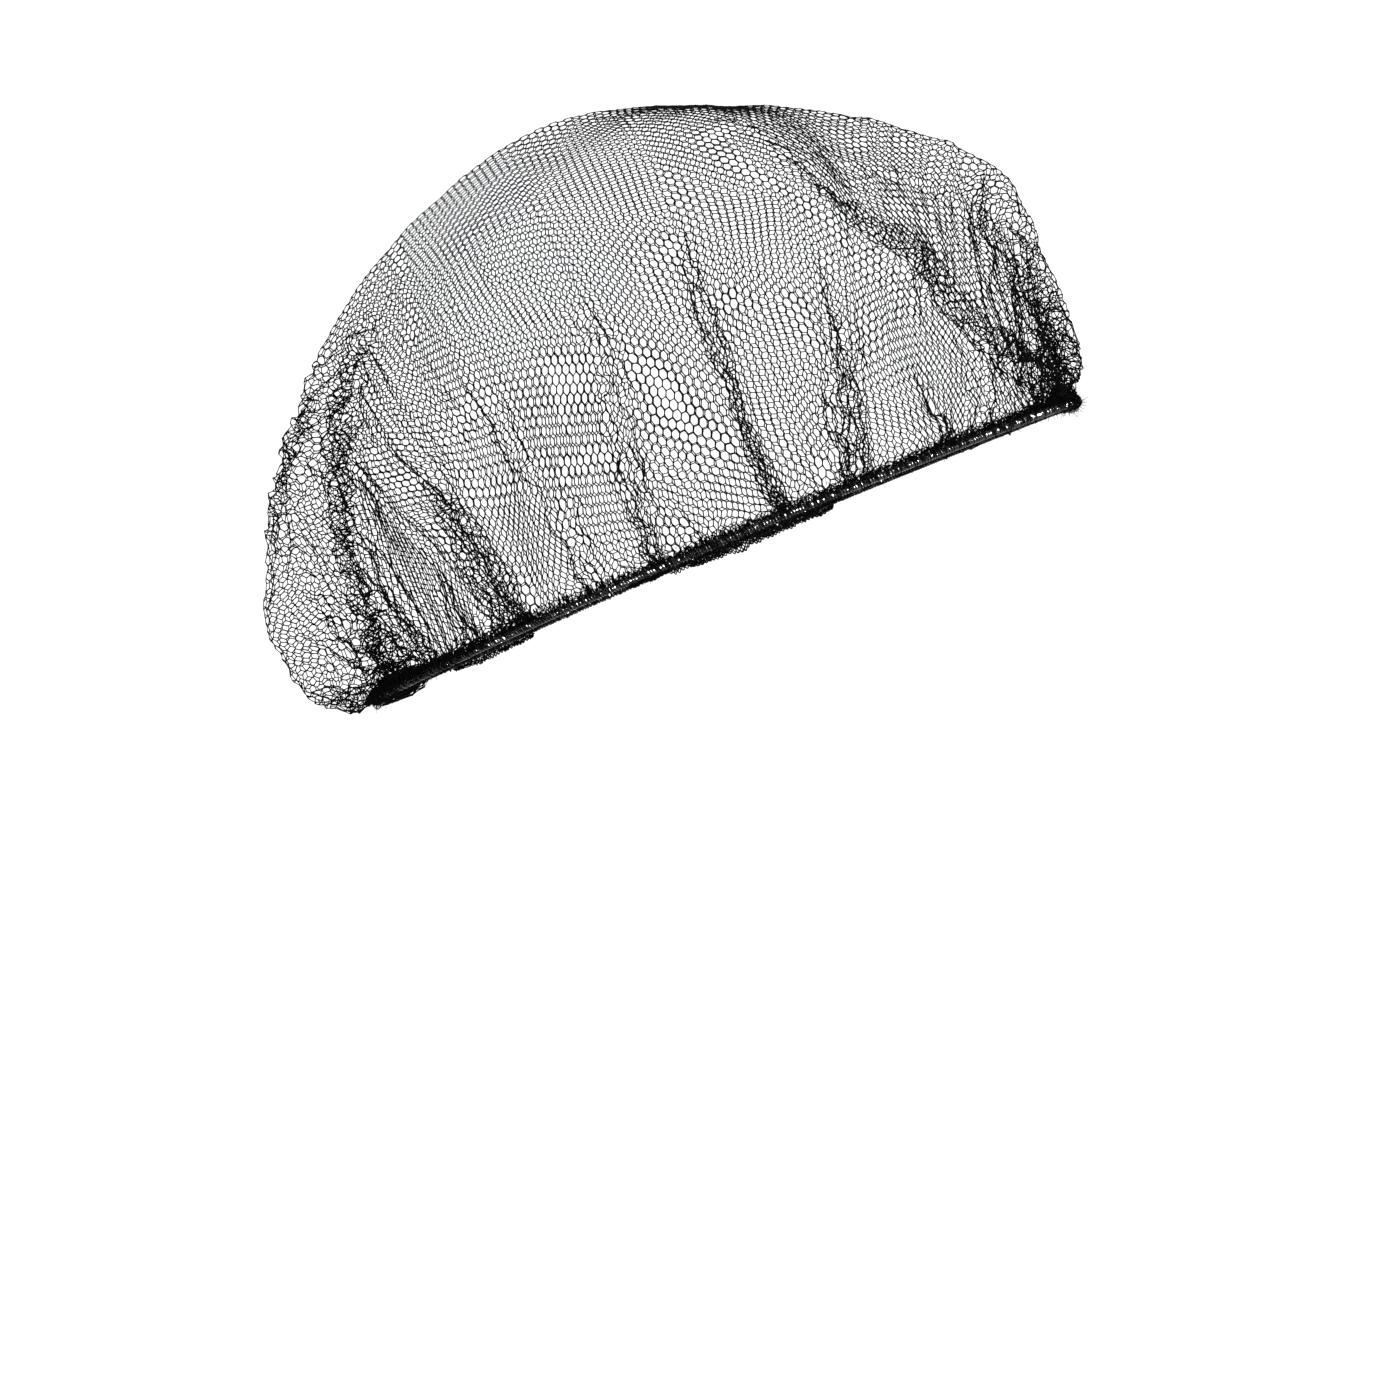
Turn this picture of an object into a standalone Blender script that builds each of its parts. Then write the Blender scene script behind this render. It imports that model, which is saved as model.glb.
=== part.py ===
"""Disposable mesh hair net with an elastic band, in the form it has when it is worn.

Units are metres, +Z is up and the wearer's face looks along -Y, so the right ear is at -X.
The origin is the centre of the elastic band. The band and the crown are drawn in the band's
own level frame, under an empty that tilts them: high over the forehead, low at the nape.
"""

from math import cos, exp, pi, radians, sin
from typing import NamedTuple

import bmesh
import bpy

OBJECT_NAME = "mesh_hair_net"

# Overall sizes
BAND_LENGTH = 0.197          # the band's loop from forehead to nape, along its centre line
BAND_WIDTH = 0.152           # the band's loop from ear to ear, along its centre line
BAND_BOW = 0.0020            # how far the loop rises over the ears
BAND_TILT = radians(23.0)    # forehead high, nape low
CROWN_RISE = 0.118           # from the band's plane to the top of the crown, square to it

# Materials' own sizes
BAND_THICKNESS = 0.0022      # covered elastic cord
NET_WALL = 0.0011            # knitted net with its loft
FRILL_DROP = 0.0018          # loose hem under the band
CLEARANCE = 0.0003           # between the band and the hem

# Folds of the gathered net
FOLD_DEPTH = 0.0060
FOLD_WIDTH = 0.0056

# Facets
COLUMNS = 104                # round the crown and along the band
BAND_ROUNDING = 2            # bevel resolution of the cord: eight sides


class Section(NamedTuple):
    """One level section of the crown.

    rise is a share of CROWN_RISE, and sag is how much of it is lost at the nape, where the
    net hangs over the band. front and back are the reach from the band's centre and widest
    is the place of the greatest width, all shares of half BAND_LENGTH. side is the reach to
    each ear, a share of half BAND_WIDTH.
    """

    rise: float
    sag: float
    front: float
    back: float
    side: float
    widest: float


SECTIONS = (
    Section(rise=0.060, sag=0.072, front=1.056, back=1.096, side=1.040, widest=0.10),
    Section(rise=0.145, sag=0.070, front=1.088, back=1.186, side=1.066, widest=0.12),
    Section(rise=0.246, sag=0.040, front=1.095, back=1.204, side=1.078, widest=0.13),
    Section(rise=0.350, sag=0.015, front=1.091, back=1.160, side=1.066, widest=0.13),
    Section(rise=0.450, sag=0.000, front=1.086, back=1.092, side=1.030, widest=0.12),
    Section(rise=0.534, sag=0.000, front=1.064, back=1.024, side=0.980, widest=0.10),
    Section(rise=0.632, sag=0.000, front=0.956, back=0.940, side=0.892, widest=0.08),
    Section(rise=0.720, sag=0.000, front=0.836, back=0.836, side=0.790, widest=0.06),
    Section(rise=0.802, sag=0.000, front=0.706, back=0.722, side=0.672, widest=0.04),
    Section(rise=0.873, sag=0.000, front=0.566, back=0.588, side=0.542, widest=0.02),
    Section(rise=0.930, sag=0.000, front=0.418, back=0.420, side=0.404, widest=0.00),
    Section(rise=0.969, sag=0.000, front=0.280, back=0.274, side=0.270, widest=0.00),
    Section(rise=0.992, sag=0.000, front=0.138, back=0.138, side=0.137, widest=0.00),
)


class HemLine(NamedTuple):
    """One line of the hem, beside the band: shares of the hem's distance from its centre."""

    out: float
    up: float


# From inside the band, over it and out to the first section.
HEM_LINES = (
    HemLine(out=-1.00, up=0.40),
    HemLine(out=-0.62, up=1.10),
    HemLine(out=0.50, up=1.55),
)


class Fold(NamedTuple):
    """One fold of the gathered net, pressed in from the outside.

    azimuth is where it starts at the band, in degrees round from the face towards the right
    ear, and lean is how far it has turned at its end. width and depth are shares of
    FOLD_WIDTH and FOLD_DEPTH, and reach is a share of CROWN_RISE.
    """

    azimuth: float
    lean: float
    width: float
    depth: float
    reach: float


FOLDS = (
    # The bunched front end
    Fold(azimuth=-10, lean=2, width=0.9, depth=0.80, reach=0.42),
    Fold(azimuth=3, lean=-4, width=0.9, depth=1.00, reach=0.55),
    Fold(azimuth=15, lean=6, width=0.9, depth=0.85, reach=0.48),
    # The right side, from the forehead to the nape
    Fold(azimuth=29, lean=-5, width=0.9, depth=0.70, reach=0.50),
    Fold(azimuth=41, lean=4, width=0.9, depth=0.50, reach=0.36),
    Fold(azimuth=51, lean=4, width=0.8, depth=0.50, reach=0.26),
    Fold(azimuth=63, lean=-9, width=0.9, depth=0.65, reach=0.58),
    Fold(azimuth=79, lean=-5, width=0.9, depth=0.60, reach=0.50),
    Fold(azimuth=97, lean=-5, width=0.9, depth=0.55, reach=0.32),
    Fold(azimuth=114, lean=-3, width=0.9, depth=0.50, reach=0.40),
    Fold(azimuth=130, lean=-6, width=1.0, depth=0.60, reach=0.46),
    Fold(azimuth=146, lean=4, width=0.9, depth=0.70, reach=0.36),
    Fold(azimuth=160, lean=-5, width=0.9, depth=0.85, reach=0.46),
    # The bunched back end
    Fold(azimuth=172, lean=3, width=0.9, depth=1.00, reach=0.40),
    Fold(azimuth=184, lean=-3, width=0.9, depth=0.90, reach=0.52),
    Fold(azimuth=197, lean=5, width=0.9, depth=0.80, reach=0.38),
    # The left side, from the nape to the forehead
    Fold(azimuth=212, lean=-4, width=1.0, depth=0.65, reach=0.44),
    Fold(azimuth=227, lean=5, width=0.9, depth=0.55, reach=0.34),
    Fold(azimuth=243, lean=-3, width=0.9, depth=0.50, reach=0.42),
    Fold(azimuth=261, lean=4, width=0.9, depth=0.60, reach=0.30),
    Fold(azimuth=279, lean=6, width=0.9, depth=0.55, reach=0.48),
    Fold(azimuth=296, lean=-4, width=0.9, depth=0.60, reach=0.36),
    Fold(azimuth=311, lean=5, width=0.9, depth=0.60, reach=0.54),
    Fold(azimuth=327, lean=-3, width=0.9, depth=0.70, reach=0.42),
    Fold(azimuth=339, lean=4, width=0.9, depth=0.80, reach=0.50),
)
FOLD_START = 0.045           # share of CROWN_RISE where the folds begin, above the hem
FOLD_FULL = 0.150            # share of CROWN_RISE where they are deepest

# What the hem and the band make of those sizes
HALF_LENGTH = BAND_LENGTH / 2
HALF_WIDTH = BAND_WIDTH / 2
BAND_WIDEST = 0.08           # share of HALF_LENGTH, back from the middle
HEM_GAP = BAND_THICKNESS / 2 + CLEARANCE + NET_WALL / 2
FRILL_LEVEL = -(BAND_THICKNESS / 2 + FRILL_DROP)


def plan_point(turn: float, front: float, back: float, side: float, widest: float) -> tuple[float, float]:
    """Return x and y of a level oval at a turn in radians from the face towards the right ear.

    The oval is two half ellipses that share their width, where the section is widest.
    """
    reach = front + widest if cos(turn) > 0 else back - widest
    return -side * sin(turn), widest - reach * cos(turn)


def bow(turn: float) -> float:
    """Return how far the band stands above its plane at a turn: most over the ears."""
    return BAND_BOW * sin(turn) ** 2


def turn_gap(turn: float, other: float) -> float:
    """Return the shorter angle between two turns."""
    gap = abs(turn - other) % (2 * pi)
    return min(gap, 2 * pi - gap)


def fold_fade(rise: float, reach: float) -> float:
    """Return how much of a fold's depth is left at a rise: none at the hem and past its reach."""
    start = min(max((rise - FOLD_START) / (FOLD_FULL - FOLD_START), 0.0), 1.0)
    end = min(max((reach - rise) / (reach - FOLD_START), 0.0), 1.0)
    return start * end ** 0.7


def fold_depth(turn: float, rise: float) -> float:
    """Return how deep the folds press the crown in at a turn and a rise."""
    depth = 0.0
    for fold in FOLDS:
        middle = radians(fold.azimuth + fold.lean * rise / fold.reach)
        across = turn_gap(turn, middle) * HALF_WIDTH / (fold.width * FOLD_WIDTH)
        depth += fold.depth * FOLD_DEPTH * fold_fade(rise, fold.reach) * exp(-across ** 2)
    return depth


def hem_ring(out: float, up: float) -> list[tuple[float, float, float]]:
    """Return the crown's points beside the band, out from its centre line and up from it."""
    points = []
    for column in range(COLUMNS):
        turn = 2 * pi * column / COLUMNS
        x, y = plan_point(
            turn, HALF_LENGTH + out, HALF_LENGTH + out, HALF_WIDTH + out, BAND_WIDEST * HALF_LENGTH
        )
        points.append((x, y, bow(turn) + up))
    return points


def crown_ring(section: Section) -> list[tuple[float, float, float]]:
    """Return the crown's points at one section, with the folds pressed in."""
    points = []
    for column in range(COLUMNS):
        turn = 2 * pi * column / COLUMNS
        depth = fold_depth(turn, section.rise)
        x, y = plan_point(
            turn,
            section.front * HALF_LENGTH - depth,
            section.back * HALF_LENGTH - depth,
            section.side * HALF_WIDTH - depth,
            section.widest * HALF_LENGTH,
        )
        level = section.rise - section.sag * max(-cos(turn), 0.0) ** 2
        points.append((x, y, level * CROWN_RISE + bow(turn) * (1 - section.rise)))
    return points


def fabric(name: str, colour: tuple[float, float, float], roughness: float) -> bpy.types.Material:
    """Return a plain matt material for a textile piece."""
    material = bpy.data.materials.new(name)
    material.use_nodes = True
    shader = material.node_tree.nodes["Principled BSDF"]
    shader.inputs["Base Color"].default_value = (*colour, 1.0)
    shader.inputs["Roughness"].default_value = roughness
    shader.inputs["Metallic"].default_value = 0.0
    return material


def new_piece(name: str, data: bpy.types.ID, seat: bpy.types.Object, colour: tuple[float, float, float],
              roughness: float) -> bpy.types.Object:
    """Return a new object that stands on the seat, in the object's collection."""
    piece = bpy.data.objects.new(name, data)
    piece.parent = seat
    data.materials.append(fabric(name + "_finish", colour, roughness))
    bpy.data.collections[OBJECT_NAME].objects.link(piece)
    return piece


def make_crown(seat: bpy.types.Object) -> bpy.types.Object:
    """Build the net: an open dome, lofted ring by ring and given its wall by Solidify."""
    rings = [hem_ring(HEM_GAP * -1.0, FRILL_LEVEL)]
    rings += [hem_ring(HEM_GAP * line.out, HEM_GAP * line.up) for line in HEM_LINES]
    rings += [crown_ring(section) for section in SECTIONS]

    build = bmesh.new()
    loops = [[build.verts.new(point) for point in ring] for ring in rings]
    for low, high in zip(loops, loops[1:]):
        for column in range(COLUMNS):
            after = (column + 1) % COLUMNS
            build.faces.new((low[after], low[column], high[column], high[after]))
    top = build.verts.new((0.0, 0.0, CROWN_RISE))
    for column in range(COLUMNS):
        build.faces.new((loops[-1][(column + 1) % COLUMNS], loops[-1][column], top))
    bmesh.ops.recalc_face_normals(build, faces=build.faces)
    mesh = bpy.data.meshes.new("net_crown")
    build.to_mesh(mesh)
    build.free()
    mesh.shade_smooth()

    crown = new_piece("net_crown", mesh, seat, colour=(0.012, 0.012, 0.013), roughness=0.62)
    wall = crown.modifiers.new("wall", "SOLIDIFY")
    wall.thickness = NET_WALL
    wall.offset = 0.0
    wall.use_even_offset = True
    return crown


def make_band(seat: bpy.types.Object) -> bpy.types.Object:
    """Build the elastic: a cord swept once round the loop."""
    curve = bpy.data.curves.new("elastic_band", "CURVE")
    curve.dimensions = "3D"
    curve.bevel_depth = BAND_THICKNESS / 2
    curve.bevel_resolution = BAND_ROUNDING
    line = curve.splines.new("POLY")
    line.points.add(COLUMNS - 1)
    for point, place in zip(line.points, hem_ring(0.0, 0.0)):
        point.co = (*place, 1.0)
    line.use_cyclic_u = True
    return new_piece("elastic_band", curve, seat, colour=(0.018, 0.018, 0.019), roughness=0.38)


def main() -> None:
    """Clear the scene and build the cap."""
    for old in list(bpy.data.objects):
        bpy.data.objects.remove(old)
    collection = bpy.data.collections.new(OBJECT_NAME)
    bpy.context.scene.collection.children.link(collection)
    seat = bpy.data.objects.new("head_seat", None)
    seat.rotation_euler.x = -BAND_TILT
    collection.objects.link(seat)
    make_crown(seat)
    make_band(seat)


main()
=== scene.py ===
"""Visual model of a disposable mesh hair net with an elastic band, in the form it has when worn.

The net is laid thread by thread. A cut of honeycomb net is laid over the CAD crown in pleats and
tucks, a short relaxation lets its threads find their own lengths, and each thread then becomes a
thin tube. The elastic is a cord wound with a glossy thread, and the hem of the net is stitched
round it. All sizes are in metres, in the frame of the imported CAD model.
"""

import logging
from dataclasses import dataclass, field
from enum import Enum
from math import cos, pi, sin, sqrt
from typing import NamedTuple

import bmesh
import bpy
import numpy as np
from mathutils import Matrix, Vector
from mathutils.bvhtree import BVHTree


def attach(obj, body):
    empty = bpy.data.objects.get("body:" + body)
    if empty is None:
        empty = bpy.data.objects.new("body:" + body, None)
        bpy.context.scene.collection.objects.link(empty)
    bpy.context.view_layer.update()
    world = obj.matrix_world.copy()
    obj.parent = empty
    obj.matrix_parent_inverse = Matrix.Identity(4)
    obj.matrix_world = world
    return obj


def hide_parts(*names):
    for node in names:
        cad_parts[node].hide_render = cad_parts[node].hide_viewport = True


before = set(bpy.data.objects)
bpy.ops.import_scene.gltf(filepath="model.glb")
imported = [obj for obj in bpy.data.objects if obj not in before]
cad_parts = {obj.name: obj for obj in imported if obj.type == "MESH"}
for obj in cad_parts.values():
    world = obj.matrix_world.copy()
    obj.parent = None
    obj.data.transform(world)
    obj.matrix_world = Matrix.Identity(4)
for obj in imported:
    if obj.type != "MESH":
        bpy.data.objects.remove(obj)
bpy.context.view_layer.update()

LOG = logging.getLogger("hair_net")
UP = np.array([0.0, 0.0, 1.0])


class Slot(Enum):
    """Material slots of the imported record."""

    NET = "net"
    ELASTIC = "elastic"


class Side(Enum):
    """Sides of the net as worn, with the sign of the band frame's first axis."""

    RIGHT = -1
    LEFT = 1


# Node trees and finishes


class NodeTree:
    """Short calls for filling a shader node tree."""

    COLUMN_WIDTH = 180

    def __init__(self, tree: bpy.types.NodeTree) -> None:
        """Take a tree to fill.

        Args:
            tree: a material's node tree or a node group.
        """
        self.tree = tree
        self.column = 0

    def add(
        self, kind: str, inputs: dict[str | int, object] | None = None, **settings: object
    ) -> bpy.types.Node:
        """Add a node.

        Args:
            kind: the node's Blender type name.
            inputs: values or output sockets, by input name or index.
            settings: the node's own properties.

        Returns:
            The new node.
        """
        node = self.tree.nodes.new(kind)
        node.location = (self.COLUMN_WIDTH * self.column, 0)
        self.column += 1
        for key, value in settings.items():
            setattr(node, key, value)
        return self.feed(node, inputs or {})

    def feed(self, node: bpy.types.Node, inputs: dict[str | int, object]) -> bpy.types.Node:
        """Set a node's inputs.

        Args:
            node: the node.
            inputs: values or output sockets, by input name or index.

        Returns:
            The same node.
        """
        for key, value in inputs.items():
            if isinstance(value, bpy.types.NodeSocket):
                self.tree.links.new(value, node.inputs[key])
            else:
                node.inputs[key].default_value = value
        return node

    def mix(self, share: object, low: object, high: object) -> bpy.types.NodeSocket:
        """Mix two colours.

        Args:
            share: value or socket, 0 for the low colour and 1 for the high one.
            low: colour or socket.
            high: colour or socket.

        Returns:
            The mixed colour's socket.
        """
        node = self.add("ShaderNodeMix", {0: share, 6: low, 7: high}, data_type="RGBA")
        return node.outputs[2]

    def math(self, operation: str, first: object, second: object = 0.0) -> bpy.types.NodeSocket:
        """Work out a value from one or two others.

        Args:
            operation: the Math node's operation.
            first: value or socket.
            second: value or socket.

        Returns:
            The result's socket.
        """
        return self.add("ShaderNodeMath", {0: first, 1: second}, operation=operation).outputs[0]

    def spread(
        self, value: object, low: float, high: float, to_low: float, to_high: float
    ) -> bpy.types.NodeSocket:
        """Map a value from one range to another, smoothly and within its ends.

        Args:
            value: socket of the value.
            low: start of its range.
            high: end of its range.
            to_low: result at the start.
            to_high: result at the end.

        Returns:
            The result's socket.
        """
        ends = {0: value, 1: low, 2: high, 3: to_low, 4: to_high}
        return self.add("ShaderNodeMapRange", ends, interpolation_type="SMOOTHSTEP").outputs[0]


class SharedGroups:
    """Shader node groups that several finishes use."""

    def __init__(self) -> None:
        """Build the groups once."""
        self.twist = self._twist()
        self.lint_and_glint = self._lint_and_glint()

    @staticmethod
    def _group(
        name: str, vector: str, values: dict[str, float], outputs: list[str]
    ) -> tuple[NodeTree, bpy.types.NodeOutputs]:
        """Make an empty group with its sockets.

        Args:
            name: the group's name.
            vector: name of the vector input.
            values: defaults of the value inputs, by name.
            outputs: names of the value outputs.

        Returns:
            The group's tree and the sockets that bring its inputs in.
        """
        group = bpy.data.node_groups.new(name, "ShaderNodeTree")
        group.interface.new_socket(name=vector, in_out="INPUT", socket_type="NodeSocketVector")
        for title, value in values.items():
            socket = group.interface.new_socket(name=title, in_out="INPUT", socket_type="NodeSocketFloat")
            socket.default_value = value
        for title in outputs:
            group.interface.new_socket(name=title, in_out="OUTPUT", socket_type="NodeSocketFloat")
        tree = NodeTree(group)
        return tree, tree.add("NodeGroupInput").outputs

    def _twist(self) -> bpy.types.NodeTree:
        """Build the twist of a yarn, from a UV map in metres along the thread and turns round it.

        Returns:
            The group, which puts out the plies' Height and the Top Highlight, a mask of their tops where a
            painted highlight goes.
        """
        values = {"Plies per Metre": 900.0, "Plies Round": 2.0, "Unevenness": 0.3}
        tree, given = self._group("yarn_twist", "Thread UV", values, ["Height", "Mask"])
        parts = tree.add("ShaderNodeSeparateXYZ", {0: given["Thread UV"]})
        wander = tree.add("ShaderNodeTexNoise", {"Vector": given["Thread UV"], "Scale": 260.0, "Detail": 2.0})
        along = tree.math("MULTIPLY", parts.outputs[0], given["Plies per Metre"])
        round_it = tree.math("MULTIPLY", parts.outputs[1], given["Plies Round"])
        drift = tree.math("MULTIPLY", wander.outputs[0], given["Unevenness"])
        phase = tree.math("ADD", tree.math("ADD", along, round_it), drift)
        wave = tree.math("SINE", tree.math("MULTIPLY", phase, 2 * pi))
        height = tree.spread(wave, -1.0, 1.0, 0.0, 1.0)
        tree.add("NodeGroupOutput", {"Height": height, "Mask": tree.spread(wave, 0.2, 1.0, 0.0, 1.0)})
        return tree.tree

    def _lint_and_glint(self) -> bpy.types.NodeTree:
        """Build the slow changes of a black textile: paler patches, and fine specks that are partly lint and
        partly painted glints.

        Returns:
            The group, which puts out Patches and the Lint and Glint Specks.
        """
        values = {"Patch Scale": 90.0, "Speck Scale": 1400.0}
        tree, given = self._group("lint_and_patches", "Position", values, ["Patches", "Specks"])
        where = given["Position"]
        soft = {"Vector": where, "Scale": given["Patch Scale"], "Detail": 3.0, "Roughness": 0.6}
        slow = tree.add("ShaderNodeTexNoise", soft)
        sharp = {"Vector": where, "Scale": given["Speck Scale"], "Detail": 1.0}
        fine = tree.add("ShaderNodeTexNoise", sharp)
        patches = tree.spread(slow.outputs[0], 0.35, 0.7, 0.0, 1.0)
        # fine specks: real lint, and painted glints on the threads
        lint_and_glint_specks = tree.spread(fine.outputs[0], 0.62, 0.75, 0.0, 1.0)
        tree.add("NodeGroupOutput", {"Patches": patches, "Specks": lint_and_glint_specks})
        return tree.tree


@dataclass(frozen=True)
class ThreadFinish:
    """Finish of a thread: its dye, its gloss and the twist of its plies."""

    name: str
    dark: tuple[float, float, float]
    pale: tuple[float, float, float]
    # colour of the specks: real lint, and painted glints
    lint_and_glint: tuple[float, float, float]
    smooth: float
    rough: float
    plies_per_metre: float
    plies_round: float
    relief: float
    specular: float

    PLY_HIGHLIGHT = 0.35              # painted highlight: how far the plies' tops go to the pale colour
    LINT_AND_GLINT_LIGHT = 0.5              # how far the specks go to the lint's colour: real lint, and painted glints
    PLY_DEPTH = 0.7               # share of the relief that the light shows

    def material(self, groups: SharedGroups) -> bpy.types.Material:
        """Build the material.

        Args:
            groups: the shared node groups.

        Returns:
            The material.
        """
        material = bpy.data.materials.new(self.name)
        material.use_nodes = True
        tree = NodeTree(material.node_tree)
        place = tree.add("ShaderNodeTexCoord")
        thread = tree.add("ShaderNodeUVMap", uv_map="thread")
        lay = {
            "Thread UV": thread.outputs[0],
            "Plies per Metre": self.plies_per_metre,
            "Plies Round": self.plies_round,
        }
        twist = tree.add("ShaderNodeGroup", node_tree=groups.twist)
        tree.feed(twist, lay)
        lint_and_glint = tree.add("ShaderNodeGroup", node_tree=groups.lint_and_glint)
        tree.feed(lint_and_glint, {"Position": place.outputs["Object"]})
        pale = (*self.pale, 1.0)
        body = tree.mix(lint_and_glint.outputs["Patches"], (*self.dark, 1.0), pale)
        # painted highlight: the plies' tops are made paler, as if they caught the light
        ply_highlighted = tree.mix(tree.math("MULTIPLY", twist.outputs["Mask"], self.PLY_HIGHLIGHT), body, pale)
        # the specks are real lint, and painted glints on the thread
        lint_and_glint_specks = tree.math("MULTIPLY", lint_and_glint.outputs["Specks"], self.LINT_AND_GLINT_LIGHT)
        bump = {"Height": twist.outputs["Height"], "Strength": self.PLY_DEPTH, "Distance": self.relief}
        looks = {
            "Base Color": tree.mix(lint_and_glint_specks, ply_highlighted, (*self.lint_and_glint, 1.0)),
            "Roughness": tree.spread(lint_and_glint.outputs["Patches"], 0.0, 1.0, self.smooth, self.rough),
            "Normal": tree.add("ShaderNodeBump", bump).outputs[0],
            "Specular IOR Level": self.specular,
        }
        tree.feed(material.node_tree.nodes["Principled BSDF"], looks)
        return material


# each finish's lint colour is also the colour of its painted glints
NET_NYLON = ThreadFinish(
    name="black_net_nylon",
    dark=(0.0014, 0.0014, 0.0016), pale=(0.0030, 0.0030, 0.0034), lint_and_glint=(0.0140, 0.0140, 0.0150),
    smooth=0.48, rough=0.66, plies_per_metre=2200.0, plies_round=1.0, relief=0.00004, specular=0.02,
)
GLOSSY_WRAP = ThreadFinish(
    name="glossy_wrap_thread",
    dark=(0.00002, 0.00002, 0.00002), pale=(0.00004, 0.00004, 0.00004), lint_and_glint=(0.0002, 0.0002, 0.0002),
    smooth=0.05, rough=0.12, plies_per_metre=1800.0, plies_round=2.0, relief=0.00003, specular=0.32,
)
ELASTIC_RUBBER = ThreadFinish(
    name="covered_elastic_core",
    dark=(0.0008, 0.0008, 0.0009), pale=(0.0018, 0.0018, 0.0020), lint_and_glint=(0.0060, 0.0060, 0.0062),
    smooth=0.40, rough=0.62, plies_per_metre=1050.0, plies_round=4.0, relief=0.00008, specular=0.05,
)
HEM_COTTON = ThreadFinish(
    name="hem_stitch_thread",
    dark=(0.0007, 0.0007, 0.0008), pale=(0.0015, 0.0015, 0.0017), lint_and_glint=(0.0070, 0.0070, 0.0072),
    smooth=0.50, rough=0.70, plies_per_metre=1500.0, plies_round=2.0, relief=0.00006, specular=0.02,
)


# Threads as tubes


def unit(vectors: np.ndarray) -> np.ndarray:
    """Return vectors at length one, with their axes last."""
    return vectors / np.maximum(np.linalg.norm(vectors, axis=-1, keepdims=True), 1e-9)


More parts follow.
